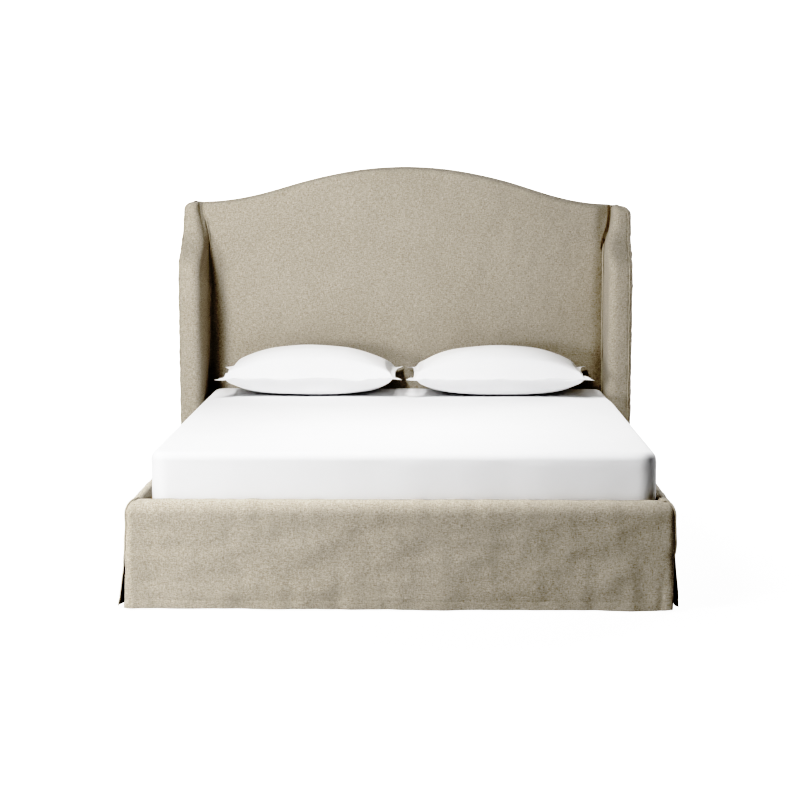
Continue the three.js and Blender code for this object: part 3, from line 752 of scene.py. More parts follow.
for side, tag in ((-1, "left"), (1, "right")):
    o, G, Nn, sk, R, top_z = wings[tag]
    # flange seam up the front of the wing and over its top to the back
    line = G[:, sk] + Nn[:, sk] * 0.0022
    top = line[-1]
    over = np.stack([np.full(8, top[0]), np.linspace(top[1] + 0.004, 1.099, 8), np.full(8, top_z + 0.003)], 1)
    path = resample(np.concatenate([line[1:], over]), 0.007)
    rng = np.random.default_rng(71 + side)
    path[:, 0] += 0.0009 * waves(np.stack([path[:, 2], path[:, 1]], -1), 72 + side, 0.03, 0.09)
    welts.append(tube(f"wing_seam_{tag}", path, 0.0034, M_WELT, sides=8, flat=0.62))
    # welt in the crease between wing and panel
    z = np.linspace(0.43, top_z - 0.010, 150)
    col = [int(np.argmin(np.abs(R[i, :22, 1] - 1.012))) for i in range(len(R))]
    xi = np.interp(z, R[:, 0, 2], np.abs(np.array([R[i, c, 0] for i, c in enumerate(col)])))
    crease = np.stack([side * (xi - 0.0035), 1.012 + 0.0008 * waves(np.stack([z, z * 0], -1), 75, 0.04, 0.1), z], 1)
    if side > 0:
        crease = crease[z < 1.30]
    welts.append(tube(f"crease_welt_{tag}", crease, 0.0032, M_WELT, sides=8))
    # stitch row along the boxing strip
    if side > 0:
        add_stitches(G[2:-4, sk - 2] + Nn[2:-4, sk - 2] * 0.0002, Nn[2:-4, sk - 2], seed=5 + side)

xs = np.linspace(-1.005, 1.005, 260)
front_welt = np.stack([xs, np.full_like(xs, PANEL_Y + 0.031), T(xs) + 0.0012], 1)
welts.append(tube("panel_top_welt", front_welt, 0.0034, M_WELT, sides=8))
# welt round the back panel
ang = np.linspace(0, math.pi / 2, 10)
arc_r = np.stack([WING_OUT - CORNER_R + CORNER_R * np.cos(ang), CORNER_Z + CORNER_R * np.sin(ang)], 1)
right = np.concatenate([[[WING_OUT, z] for z in np.linspace(0.012, 1.42, 120)], arc_r])
xm = np.linspace(1.03, -1.03, 240)
turn = np.array([[0, TOP_Z["right"] - CORNER_Z - CORNER_R]])
full = np.concatenate([right + turn * (right[:, 1:2] > 1.43), np.stack([xm, outline_top(xm)], 1), ((right + (turn * 0 + [[0, TOP_Z["left"] - CORNER_Z - CORNER_R]]) * (right[:, 1:2] > 1.43)) * np.array([-1, 1]))[::-1]])
ring = np.stack([full[:, 0], np.full(len(full), 1.1005), full[:, 1]], 1)
ring = resample(ring, 0.009)
cen = np.array([0, 1.1, 0.8])
welts.append(tube("back_welt", ring, 0.0034, M_WELT, sides=8))

for o in [panel, band, back] + [wings[t][0] for t in wings] + welts:
    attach(o, BED)
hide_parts("headboard_slipcover", "headboard_front_foam")
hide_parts("headboard_top_foam")
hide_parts("wing_foam_left")
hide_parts("wing_foam_right")


# ------------------------------------------------------------------ base cover
OUT_X, OUT_Y = 1.039, -1.1025
IN_X, IN_Y = 0.978, -1.038
PLAN_R = 0.032
SIDE_END = 0.7445
SPLIT_Z = 0.222


def base_path():
    """Plan of the cover from the left side's head end, round the foot, to the right side's head end."""
    O, I, Nv = [], [], []
    ys = np.linspace(SIDE_END, OUT_Y + PLAN_R, 186)
    for y in ys:
        t = (y - ys[-1]) / (ys[0] - ys[-1])
        O.append((-OUT_X, y)); Nv.append((-1, 0)); I.append((-IN_X, IN_Y + 0.006 + t * (SIDE_END - IN_Y - 0.006)))
    for a in np.linspace(0, math.pi / 2, 12)[1:-1]:
        c, s = math.cos(a), math.sin(a)
        O.append((-OUT_X + PLAN_R - PLAN_R * c, OUT_Y + PLAN_R - PLAN_R * s)); Nv.append((-c, -s))
        I.append((-IN_X + 0.006 - 0.006 * c, IN_Y + 0.006 - 0.006 * s))
    xs = np.linspace(-OUT_X + PLAN_R, OUT_X - PLAN_R, 210)
    for x in xs:
        O.append((x, OUT_Y)); Nv.append((0, -1)); I.append((x * (IN_X - 0.006) / (OUT_X - PLAN_R), IN_Y))
    for a in np.linspace(0, math.pi / 2, 12)[1:-1]:
        c, s = math.cos(a), math.sin(a)
        O.append((OUT_X - PLAN_R + PLAN_R * s, OUT_Y + PLAN_R - PLAN_R * c)); Nv.append((s, -c))
        I.append((IN_X - 0.006 + 0.006 * s, IN_Y + 0.006 - 0.006 * c))
    for y in ys[::-1]:
        t = (y - ys[-1]) / (ys[0] - ys[-1])
        O.append((OUT_X, y)); Nv.append((1, 0)); I.append((IN_X, IN_Y + 0.006 + t * (SIDE_END - IN_Y - 0.006)))
    return np.array(O), np.array(I), np.array(Nv)


BO, BI, BN = base_path()
BP = np.concatenate([[0], np.cumsum(np.linalg.norm(np.diff(BO, axis=0), axis=1))])
BP = BP - BP[-1] / 2                                                         # 0 at the middle of the foot
n_side = 186
SEAM_L = n_side - 1 + 4                                                      # seams sit just round the corner, on the side
SEAM_R = len(BO) - 1 - SEAM_L


def base_grid():
    rows = []
    for z in np.linspace(0.366, 0.4145 - 0.014, 5)[:-1]:
        rows.append(("flap", z))
    for a in np.linspace(0, math.pi / 2, 7):
        rows.append(("in", a))
    for t in np.linspace(0, 1, 5)[1:-1]:
        rows.append(("top", t))
    for a in np.linspace(math.pi / 2, 0, 13):
        rows.append(("out", a))
    z_low = np.concatenate([np.linspace(0.4145 - 0.056, 0.05, 54)[1:], np.linspace(0.05, 0.004, 12)[1:]])
    for z in z_low:
        rows.append(("skirt", z))
    ri, ro, rz, ztop = 0.014, 0.045, 0.056, 0.4145
    G = np.zeros((len(rows), len(BO), 3))
    Nn = np.zeros_like(G)
    D = BO - BI
    D /= np.linalg.norm(D, axis=1, keepdims=True)
    n3 = np.concatenate([BN, np.zeros((len(BN), 1))], 1)
    d3 = np.concatenate([D, np.zeros((len(D), 1))], 1)
    upv = np.array([0, 0, 1.0])
    A = BI + D * ri
    B = BO - BN * ro
    for i, (k, v) in enumerate(rows):
        if k == "flap":
            G[i, :, :2], G[i, :, 2], Nn[i] = BI, v, -d3
        elif k == "in":
            G[i, :, :2] = A - D * ri * math.cos(v)
            G[i, :, 2] = ztop - ri + ri * math.sin(v)
            Nn[i] = -d3 * math.cos(v) + upv * math.sin(v)
        elif k == "top":
            G[i, :, :2] = A + (B - A) * v
            G[i, :, 2], Nn[i] = ztop - 0.0008 * math.sin(math.pi * v), upv
        elif k == "out":
            G[i, :, :2] = B + BN * ro * math.cos(v)
            G[i, :, 2] = ztop - rz + rz * math.sin(v)
            Nn[i] = n3 * math.cos(v) * rz + upv * math.sin(v) * ro
            Nn[i] /= np.linalg.norm(Nn[i], axis=1, keepdims=True)
        else:
            G[i, :, :2], G[i, :, 2], Nn[i] = BO, v, n3
    return rows, G, Nn


def base_cover():
    rows, G, Nn = base_grid()
    kinds = np.array([k for k, _ in rows])
    p = BP[None, :] + 0 * G[..., 0]
    Z = G[..., 2]
    PZ = np.stack([p, Z], -1)
    outer = np.isin(kinds, ["skirt"])[:, None] * 1.0
    roll = np.isin(kinds, ["out"])[:, None] * 1.0
    topm = np.isin(kinds, ["top", "in"])[:, None] * 1.0
    low = 1 - smoothstep(0.0, 0.36, Z)
    d = 0.0 * Z
    line = np.stack([p, p * 0], -1)
    d += outer * (0.010 * low ** 1.6 + 0.0030 * low * waves(line, 101, 0.24, 0.70))
    d += outer * low ** 2 * 0.0014 * waves(line, 102, 0.08, 0.24)
    d += outer * 0.0015 * smoothstep(0.0, 0.05, 0.358 - Z) * waves(PZ, 103, 0.14, 0.42, stretch=(1, 1.3))
    d += outer * 0.0006 * smoothstep(0.0, 0.05, 0.358 - Z) * waves(PZ, 104, 0.05, 0.12)
    d += (topm + roll + outer * np.exp(-np.maximum(0.358 - Z, 0) / 0.05)) * 0.0007 * waves(line, 105, 0.06, 0.20)
    # slanting drag lines towards the corners of the foot panel, most on the right
    for sgn, c0, amp in ((1, 0.62, 0.0015), (1, 0.86, 0.0017), (1, 0.30, 0.0009), (-1, -0.80, 0.0009)):
        q = (p - c0) * math.cos(math.radians(38)) - (Z - 0.20) * sgn * math.sin(math.radians(38))
        along = (p - c0) * math.sin(math.radians(38)) + (Z - 0.20) * sgn * math.cos(math.radians(38))
        d += outer * amp * np.exp(-(q / 0.035) ** 2) * np.exp(-(along / 0.15) ** 2) * smoothstep(0.0, 0.06, 0.358 - Z)
        d -= outer * 0.6 * amp * np.exp(-((q - 0.055) / 0.03) ** 2) * np.exp(-(along / 0.17) ** 2) * smoothstep(0.0, 0.06, 0.358 - Z)
    d -= outer * 0.0012 * np.exp(-((Z - 0.036) / 0.0035) ** 2)               # the hem's stitched line
    full = G + Nn * d[..., None]
    # hem height wanders a little
    full[..., 2] += outer * (1 - smoothstep(0, 0.12, Z)) * 0.0011 * (1 + waves(line, 107, 0.16, 0.6))
    full[..., 0] += 0.012 * (1 - smoothstep(-1.02, -0.96, full[..., 0]))
    tang = np.gradient(np.concatenate([BO, 0 * BO[:, :1]], 1), axis=0)
    tang /= np.linalg.norm(tang, axis=1, keepdims=True)
    U = BP[None, :] + 0 * Z
    Vv = np.concatenate([np.zeros((1, len(BO))), np.cumsum(np.linalg.norm(np.diff(G, axis=0), axis=-1), axis=0)], 0)
    pieces = {}
    for name, a, b in (("side_left", 0, SEAM_L), ("foot", SEAM_L, SEAM_R), ("side_right", SEAM_R, len(BO) - 1)):
        P = full[:, a:b + 1].copy()
        z = Z[:, a:b + 1]
        op = np.clip((SPLIT_Z - z) / SPLIT_Z, 0, 1) * (kinds == "skirt")[:, None]
        for end, sign in ((a, 1), (b, -1)):
            if end in (0, len(BO) - 1):
                continue
            dist = np.abs(BP[a:b + 1] - BP[end])[None, :] + 0 * z
            fall = np.exp(-(dist / 0.075) ** 2)
            right_side = end == SEAM_R
            if name == "foot":
                shift, flare = (0.030 if right_side else 0.012), (0.004 if right_side else 0.003)
                curl = (0.005 if right_side else 0.001) * np.exp(-(dist / 0.02) ** 2)
            else:
                shift, flare = (0.018 if right_side else 0.014), (0.006 if right_side else 0.016)
                curl = 0.006 * np.exp(-(dist / 0.02) ** 2)
            P += tang[a:b + 1][None] * (sign * shift * op ** 1.05 * fall)[..., None]
            P += Nn[:, a:b + 1] * (flare * op ** 1.5 * fall)[..., None]
            P[..., 2] += curl * (op > 0.9) * (op - 0.9) * 10
        uv = np.stack([U[:, a:b + 1], Vv[:, a:b + 1]], -1)
        o = grid_object(f"base_cover_{name}", P, uv, M_LINEN, thick=0.0022, flip=False)
        pieces[name] = (o, P, a, b)
    return pieces, rows, Nn


base, base_rows, base_N = base_cover()
extra = []
skirt_rows = [i for i, (k, _) in enumerate(base_rows) if k == "skirt"]
hem_row = min(skirt_rows, key=lambda i: abs(base_rows[i][1] - 0.034))
for name, (o, P, a, b) in base.items():
    nl = base_N[hem_row, a:b + 1]
    add_stitches(P[hem_row] + nl * 0.0002, nl, seed=len(name))
# corner welts from the inner corner over the roll and down to the opening of the pleat
for tag, idx in (("left", SEAM_L), ("right", SEAM_R)):
    P, a = base["foot"][1], base["foot"][2]
    col = P[:, idx - a]
    zs_ = np.array([v if k == "skirt" else 1.0 for k, v in base_rows])
    keep = zs_ > SPLIT_Z - 0.004
    path = resample((col + base_N[:, idx] * 0.0012)[keep][6:], 0.006)
    extra.append(tube(f"corner_welt_{tag}", path, 0.0036, M_WELT, sides=8))


def pleat(tag, side):
    """The folded strip behind each front corner."""
    x0, y1 = 0.915, -0.975
    pts, nv = [], []
    inset = 0.013
    for x in np.linspace(x0, OUT_X - PLAN_R, 22):
        pts.append((x, OUT_Y + inset)); nv.append((0, -1))
    r = PLAN_R - inset
    for a in np.linspace(0, math.pi / 2, 8)[1:-1]:
        pts.append((OUT_X - PLAN_R + r * math.sin(a), OUT_Y + PLAN_R - r * math.cos(a))); nv.append((math.sin(a), -math.cos(a)))
    for y in np.linspace(OUT_Y + PLAN_R, y1, 20):
        pts.append((OUT_X - inset, y)); nv.append((1, 0))
    pts, nv = np.array(pts), np.array(nv, float)
    pp = np.concatenate([[0], np.cumsum(np.linalg.norm(np.diff(pts, axis=0), axis=1))])
    z = np.linspace(0.009, 0.262, 40)
    G = np.zeros((len(z), len(pts), 3))
    for i, zz in enumerate(z):
        w = (1 - zz / 0.27)
        d = 0.005 * w * np.sin(pp / pp[-1] * math.pi * 3 + 0.7) - 0.004 * w
        G[i, :, :2] = pts + nv * d[:, None]
        G[i, :, 2] = zz
    uv = np.stack([pp[None, :] + 0 * G[..., 0] + 9, G[..., 2]], -1)
    if side < 0:
        G = G * np.array([-1, 1, 1])
    return grid_object(f"corner_pleat_cloth_{tag}", G, uv, M_LINEN, thick=0.002, flip=side > 0)


pleats = {"left": pleat("left", -1), "right": pleat("right", 1)}
for n, (o, P, a, b) in base.items():
    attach(o, BED)
for o in extra + list(pleats.values()):
    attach(o, BED)
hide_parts("foot_cover", "rail_foam_foot")
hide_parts("side_cover_left", "rail_foam_left")
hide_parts("side_cover_right", "rail_foam_right")
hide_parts("corner_pleat_left")
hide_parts("corner_pleat_right")


# ------------------------------------------------------------------ mattress and fitted sheet
def rounded_outline(hx, y0, y1, r, step=0.022):
    pts, nv = [], []
    def line(a, b, n):
        L = math.dist(a, b)
        k = max(int(L / step), 2)
        for i in range(k):
            t = i / k
            pts.append((a[0] + (b[0] - a[0]) * t, a[1] + (b[1] - a[1]) * t)); nv.append(n)
    def arc(c, a0):
        for i in range(9):
            a = a0 + math.pi / 2 * i / 9
            pts.append((c[0] + r * math.cos(a), c[1] + r * math.sin(a))); nv.append((math.cos(a), math.sin(a)))
    line((hx, y0 + r), (hx, y1 - r), (1, 0)); arc((hx - r, y1 - r), 0)
    line((hx - r, y1), (-hx + r, y1), (0, 1)); arc((-hx + r, y1 - r), math.pi / 2)
    line((-hx, y1 - r), (-hx, y0 + r), (-1, 0)); arc((-hx + r, y0 + r), math.pi)
    line((-hx + r, y0), (hx - r, y0), (0, -1)); arc((hx - r, y0 + r), 1.5 * math.pi)
    return np.array(pts), np.array(nv)


def soft_slab(name, hx, y0, y1, r, z_bottom, z_top, r_top, r_bot, mat, under, seed, puff, gather, closed_bottom):
    O, Nv = rounded_outline(hx, y0, y1, r)
    m = len(O)
    s = np.concatenate([[0], np.cumsum(np.linalg.norm(np.diff(O, axis=0), axis=1))])
    rings, normals, kinds = [], [], []
    def put(inset, z, nh, nz, kind):
        rings.append(np.concatenate([O - Nv * inset, np.full((m, 1), z)], 1))
        normals.append(np.concatenate([Nv * nh, np.full((m, 1), nz)], 1))
        kinds.append(kind)
    for t in np.linspace(0, 1, 5)[:-1]:
        put(under + (r_bot - under) * t, z_bottom, 0, -1, "under")
    for a in np.linspace(math.pi / 2, 0, 6):
        put(r_bot - r_bot * math.cos(a), z_bottom + r_bot - r_bot * math.sin(a), math.cos(a), -math.sin(a), "bot")
    for z in np.linspace(z_bottom + r_bot, z_top - r_top, 24)[1:-1]:
        put(0, z, 1, 0, "side")
    for a in np.linspace(0, math.pi / 2, 9):
        put(r_top - r_top * math.cos(a), z_top - r_top + r_top * math.sin(a), math.cos(a), math.sin(a), "edge")
    G = np.array(rings)
    # top: rings shrink towards the middle line
    last = G[-1]
    cy0, cy1 = y0 + hx, y1 - hx
    tgt = np.stack([np.zeros(m), np.clip(last[:, 1], cy0 + 0.02, cy1 - 0.02), np.full(m, z_top)], 1)
    ks = np.linspace(0, 1, 44)[1:-1]
    top = [last + (tgt - last) * k for k in ks]
    G = np.concatenate([G, np.array(top)], 0)
    Nn = np.concatenate([np.array(normals), np.tile([0, 0, 1.0], (len(ks), m, 1))], 0)
    kinds = np.array(kinds + ["top"] * len(ks))
    K = lambda *k: np.isin(kinds, k)[:, None] * 1.0
    X, Y, Z = G[..., 0], G[..., 1], G[..., 2]
    line = np.stack([s, s * 0], -1)[None] + 0 * G[..., :2]
    d = K("side") * (0.0010 if gather else 0) * waves(np.stack([s[None] + 0 * Z, Z], -1), seed, 0.18, 0.6, stretch=(1, 0.6))
    d += K("side", "bot") * gather * (1 - smoothstep(z_bottom, z_bottom + 0.09, Z)) * waves(line, seed + 1, 0.022, 0.05)
    inset = np.minimum(np.minimum(hx - np.abs(X), Y - y0), y1 - Y)
    crown = puff * smoothstep(0.0, 0.35, inset)
    d += K("top") * (crown + 0.0010 * smoothstep(0.02, 0.15, inset) * waves(np.stack([X, Y], -1), seed + 2, 0.3, 0.9)
                     + 0.00015 * smoothstep(0.02, 0.1, inset) * waves(np.stack([X, Y], -1), seed + 3, 0.12, 0.3))
    # tension folds running in from the corners
    for cx in (-1, 1):
        for cyy, yc in ((-1, y0 + 0.04), (1, y1 - 0.04)):
            dx, dy = (X - cx * (hx - 0.04)) * -cx, (Y - yc) * -cyy
            dist = np.hypot(dx, dy)
            ang = np.arctan2(dy, dx)
            amp = 0.0007 * np.exp(-((dist - 0.16) / 0.11) ** 2) * np.exp(-((ang - math.pi / 4) / 0.75) ** 2) * (gather > 0)
            d += K("top", "edge") * amp * np.sin(ang * 15 + cx)
            side_amp = 0.0008 * (gather > 0) * np.exp(-dist / 0.12) * K("side", "bot")
            d += side_amp * np.sin(np.arctan2(Z - z_top, dist + 0.02) * 9)
    G = G + Nn * d[..., None]
    n = len(G)
    v_len = np.concatenate([np.zeros((1, m)), np.cumsum(np.linalg.norm(np.diff(G, axis=0), axis=-1), axis=0)], 0)
    is_top = (kinds == "top")[:, None] + 0 * X
    uv = np.where(is_top[..., None] > 0, np.stack([X + 20, Y], -1), np.stack([s[None] + 0 * X, v_len], -1))
    F = [list(f) for f in grid_faces(n, m, wrap=True, flip=True)]
    base_i = (n - 1) * m
    V = G.reshape(-1, 3)
    hub = len(V)
    V = np.concatenate([V, G[-1].mean(0, keepdims=True)])
    uv = np.concatenate([uv.reshape(-1, 2), uv[-1].mean(0, keepdims=True)])
    F += [[base_i + j, base_i + (j + 1) % m, hub] for j in range(m)]
    if closed_bottom:
        F.append([j for j in range(m)][::-1])
    return mesh_from(name, V, F, uv, mat), G, Nn, kinds


BED_X = 0.017                                                                # the mattress lies a little to the right of the frame's middle
mattress, mG, _, _ = soft_slab("mattress_body", 0.9515, -1.0265, 0.9925, 0.07, 0.2865, 0.5835, 0.030, 0.022, M_TICK, 0.5, 201, 0.001, 0.0, True)
pipe = []
for zz, tagz in ((0.2935, "lower"),):
    O, Nv = rounded_outline(0.9515, -1.0265, 0.9925, 0.07, 0.02)
    pp = np.concatenate([O - Nv * 0.0095, np.full((len(O), 1), zz)], 1)
    pipe.append(tube(f"mattress_piping_{tagz}", pp, 0.0035, M_TICK, sides=8, closed=True, up=(0, 0, 1)))
sheet, sG, sN, sK = soft_slab("fitted_sheet_cloth", 0.9580, -1.0335, 0.9985, 0.074, 0.2842, 0.5885, 0.032, 0.022, M_COTTON, 0.075, 211, 0.0035, 0.0022, False)
sol = sheet.modifiers.new("cloth_thickness", "SOLIDIFY")
sol.thickness = 0.0012
sol.offset = -1
for o in [mattress] + pipe + [sheet]:
    o.data.transform(Matrix.Translation((BED_X, 0, 0)))
    co_ = np.zeros(len(o.data.vertices) * 3)
    o.data.vertices.foreach_get("co", co_)
    co_ = co_.reshape(-1, 3)
    co_[:, 0] -= 0.010 * smoothstep(0.45, 0.72, co_[:, 1]) * smoothstep(0.55, 0.90, co_[:, 0])   # drawn in where it passes between the wings
    co_[:, 1] -= 0.009 * smoothstep(0.60, 0.95, co_[:, 1])
    o.data.vertices.foreach_set("co", co_.ravel())
    o.data.update()
    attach(o, "mattress")
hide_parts("mattress")
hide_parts("fitted_sheet")


# ------------------------------------------------------------------ pillows
def inflate(name, V, F, press_ids, frames, pressure, seed):
    """Blows a sewn pillow up with the cloth solver and returns where its vertices end."""
    me = bpy.data.meshes.new(name)
    me.from_pydata([tuple(v) for v in V], [], F)
    o = link(bpy.data.objects.new(name, me))
    g = o.vertex_groups.new(name="pressure")
    g.add([int(i) for i in press_ids], 1.0, "REPLACE")
    md = o.modifiers.new("Cloth", "CLOTH")
    s = md.settings
    s.quality = 6
    s.mass = 0.12
    s.tension_stiffness = 26
    s.compression_stiffness = 20
    s.shear_stiffness = 12
    s.bending_stiffness = 0.35
    s.tension_damping = 12
    s.compression_damping = 12
    s.shear_damping = 12
    s.bending_damping = 1.5
    s.air_damping = 6
    s.use_pressure = True
    s.uniform_pressure_force = pressure
    s.vertex_group_pressure = "pressure"
    s.effector_weights.gravity = 0
    md.collision_settings.use_collision = False
    md.collision_settings.use_self_collision = False
    md.point_cache.frame_start = 1
    md.point_cache.frame_end = frames
    scene.frame_start, scene.frame_end = 1, frames
    for f in range(1, frames + 1):
        scene.frame_set(f)
    dg = bpy.context.evaluated_depsgraph_get()
    e = o.evaluated_get(dg)
    out = np.zeros(len(e.data.vertices) * 3)
    e.data.vertices.foreach_get("co", out)
    bpy.data.objects.remove(o)
    scene.frame_set(1)
    return out.reshape(-1, 3)


def pillow(tag, cx, cy, seed, tilt):
    a, b, fl = 0.440, 0.252, 0.034
    nx, ny, nf = 74, 42, 3
    gx = np.concatenate([-a - fl + np.arange(nf) * fl / nf, np.linspace(-a, a, nx), a + fl - np.arange(nf)[::-1] * fl / nf])
    gy = np.concatenate([-b - fl + np.arange(nf) * fl / nf, np.linspace(-b, b, ny), b + fl - np.arange(nf)[::-1] * fl / nf])
    NX, NY = len(gx), len(gy)
    X, Y = np.meshgrid(gx, gy, indexing="ij")
    inside = (np.abs(X) < a - 1e-6) & (np.abs(Y) < b - 1e-6)
    rng = np.random.default_rng(seed)
    full = np.clip(1 - np.abs(X / a) ** 2.25, 0, 1) ** 0.86 * np.clip(1 - np.abs(Y / b) ** 2.5, 0, 1) ** 0.62
    start = 0.105 * full
    jit = 0.0010 * waves(np.stack([X, Y], -1), seed, 0.16, 0.5)
    top_id = np.arange(NX * NY).reshape(NX, NY)
    V = [np.stack([X, Y, np.where(inside, start, 0) + jit], -1).reshape(-1, 3)]
    bot_id = top_id.copy()
    bi = np.argwhere(inside)
    bot_id[inside] = NX * NY + np.arange(len(bi))
    V.append(np.stack([X[inside], Y[inside], (-start + jit)[inside]], -1))
    V = np.concatenate(V)
    F = []
    body = (np.abs(X) <= a + 1e-6) & (np.abs(Y) <= b + 1e-6)
    for i in range(NX - 1):
        for j in range(NY - 1):
            F.append([int(top_id[i, j]), int(top_id[i + 1, j]), int(top_id[i + 1, j + 1]), int(top_id[i, j + 1])])
            if body[i, j] and body[i + 1, j] and body[i, j + 1] and body[i + 1, j + 1]:
                F.append([int(bot_id[i, j]), int(bot_id[i, j + 1]), int(bot_id[i + 1, j + 1]), int(bot_id[i + 1, j])])
    press = np.concatenate([top_id[inside], bot_id[inside]])
    S = V.copy()
    moved = inflate(f"pillow_sim_{tag}", V, F, press, 16, 2.2, seed) - V
    far = np.linalg.norm(moved, axis=1, keepdims=True)
    S = V + moved * np.minimum(1, 0.016 / np.maximum(far, 1e-6))           # no point settles by more than 16 mm
    Tp = S[top_id.ravel()].reshape(NX, NY, 3)
    Bp = S[bot_id.ravel()].reshape(NX, NY, 3)
    # bring it to its lofted size, then let its belly rest on the mattress
    wid = Tp[..., 0].max() - Tp[..., 0].min()
    dep = Tp[..., 1].max() - Tp[..., 1].min()
    mid = 0.5 * (Tp[NX // 2, NY // 2, 2] + Bp[NX // 2, NY // 2, 2])
    up = Tp[..., 2].max() - mid
    dn = mid - Bp[..., 2].min()
    for P in (Tp, Bp):
        P[..., 0] *= 0.884 / wid
        P[..., 1] *= 0.470 / dep
        z = P[..., 2] - mid
        P[..., 2] = np.where(z > 0, z * (0.131 / up), z * (0.124 / dn))
        wx, wy = np.clip(np.abs(gx) / (a + fl), 0, 1)[:, None], np.clip(np.abs(gy) / (b + fl), 0, 1)[None, :]
        if P.shape[:2] == (NX, NY):                                          # the filling pulls the middles of the edges in, the corners stay out
            P[..., 0] *= 1 - 0.080 * (1 - wy ** 4) * wx ** 3
            P[..., 1] *= 1 - 0.075 * (1 - wx ** 6) * wy ** 3
    n_top = grid_normals(Tp)
    flange = ~inside
    sep = 0.0009
    wob = 0.0032 * waves(np.stack([X, Y], -1), seed + 3, 0.13, 0.34) * smoothstep(0, fl, np.maximum(np.abs(X) - a, np.abs(Y) - b))
    Tp2, Bp2 = Tp + n_top * sep, Bp - n_top * sep * flange[..., None]
    Tp2[..., 2] += wob
    Bp2[..., 2] += wob
    rot = math.radians(tilt)
    out = []
    floor_z = -0.0945
    for P in (Tp2, Bp2):
        Q = P.copy()
        y, z = Q[..., 1].copy(), Q[..., 2].copy()
        Q[..., 1] = y * math.cos(rot) - z * math.sin(rot)
        Q[..., 2] = y * math.sin(rot) + z * math.cos(rot)
        k = 0.016                                                            # soft landing on the sheet
        t = (Q[..., 2] - floor_z) / k
        Q[..., 2] = floor_z + k * np.where(t > 20, t, np.log1p(np.exp(np.clip(t, -40, 20))))
        Q[..., 2] = np.maximum(Q[..., 2], floor_z)
        out.append(Q)
    Tp2, Bp2 = out
    off = np.array([cx, cy, 0.5925 - floor_z + 0.0002])
    Tp2, Bp2 = Tp2 + off, Bp2 + off
    # the head end is pushed against the headboard
    for P in (Tp2, Bp2):
        over = np.maximum(P[..., 1] - 0.978, 0)
        P[..., 1] -= over * 0.85
    Vt = Tp2.reshape(-1, 3)
    Vb = Bp2.reshape(-1, 3)
    base_i = len(Vt)
    F = [list(f) for f in grid_faces(NX, NY, flip=False)]
    F += [[base_i + i for i in f[::-1]] for f in grid_faces(NX, NY)]
    rim = [(i, 0) for i in range(NX)] + [(NX - 1, j) for j in range(1, NY)] + [(i, NY - 1) for i in range(NX - 2, -1, -1)] + [(0, j) for j in range(NY - 2, 0, -1)]
    rid = [i * NY + j for i, j in rim]
    for q in range(len(rid)):
        r0, r1 = rid[q], rid[(q + 1) % len(rid)]
        F.append([r1, r0, base_i + r0, base_i + r1])
    UV = np.stack([X + 30 + seed, Y], -1).reshape(-1, 2)
    uv = np.concatenate([UV, UV + np.array([3.0, 0])])
    o = mesh_from(f"pillow_{tag}", np.concatenate([Vt, Vb]), F, uv, M_COTTON)
    bm = bmesh.new()
    bm.from_mesh(o.data)
    bmesh.ops.recalc_face_normals(bm, faces=bm.faces)
    bm.to_mesh(o.data)
    bm.free()
    sub = o.modifiers.new("smooth", "SUBSURF")
    sub.levels = sub.render_levels = 1
    # the stitch line where the flange begins
    ia, ib, ja, jb = nf, NX - nf - 1, nf, NY - nf - 1
    loop = [(i, ja) for i in range(ia, ib)] + [(ib, j) for j in range(ja, jb)] + [(i, jb) for i in range(ib, ia, -1)] + [(ia, j) for j in range(jb, ja, -1)]
    line = np.array([Tp2[i, j] for i, j in loop])
    line[:, 2] += 0.0006
    st = tube(f"pillow_seam_{tag}", line, 0.0011, M_COTTON, sides=6, closed=True, up=(0, 0, 1))
    return o, st


pillows = {}
for tag, cx, cy, seed, tilt in (("left", -0.4475, 0.764, 301, 1.5), ("right", 0.4475, 0.764, 331, 1.5)):
    o, st = pillow(tag, cx, cy, seed, tilt)
    body = f"pillow_{tag}"
    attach(o, body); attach(st, body)
    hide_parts(f"pillowcase_{tag}", f"pillow_insert_{tag}")
    pillows[tag] = o

# ------------------------------------------------------------------ stitches as one piece
SV = np.array(stitch_V)
st = mesh_from("cover_stitches", SV, stitch_F, np.stack([SV[:, 0] + SV[:, 1], SV[:, 2]], 1), M_THREAD)
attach(st, BED)


# ------------------------------------------------------------------ floor, light, camera
bpy.ops.mesh.primitive_plane_add(size=40, location=(0, 0, 0))
floor = bpy.context.object
floor.name = "studio_floor"
fm, fnt, fb = new_material("studio_floor")
fb.inputs["Base Color"].default_value = (0.66, 0.66, 0.66, 1)
fb.inputs["Roughness"].default_value = 0.95
fb.inputs["Specular IOR Level"].default_value = 0.1
f_out = [n for n in fnt.nodes if n.type == "OUTPUT_MATERIAL"][0]
f_mix = fnt.nodes.new("ShaderNodeMixShader")
f_em = fnt.nodes.new("ShaderNodeEmission")
f_em.inputs["Strength"].default_value = 3.0
f_lp = fnt.nodes.new("ShaderNodeLightPath")
f_far = fnt.nodes.new("ShaderNodeMapRange")                                  # the floor turns into plain white a few metres out
f_len = fnt.nodes.new("ShaderNodeVectorMath")
f_len.operation = "LENGTH"
fnt.links.new(object_coords(fnt), f_len.inputs[0])
fnt.links.new(f_len.outputs["Value"], f_far.inputs["Value"])
for k, v in (("From Min", 1.6), ("From Max", 4.2), ("To Min", 0.58), ("To Max", 1.0)):
    f_far.inputs[k].default_value = v
f_share = fnt.nodes.new("ShaderNodeMath")
f_share.operation = "MULTIPLY"
fnt.links.new(f_far.outputs[0], f_share.inputs[1])
fnt.links.new(f_lp.outputs["Is Camera Ray"], f_share.inputs[0])
fnt.links.new(f_share.outputs[0], f_mix.inputs[0])
fnt.links.new(fb.outputs[0], f_mix.inputs[1])
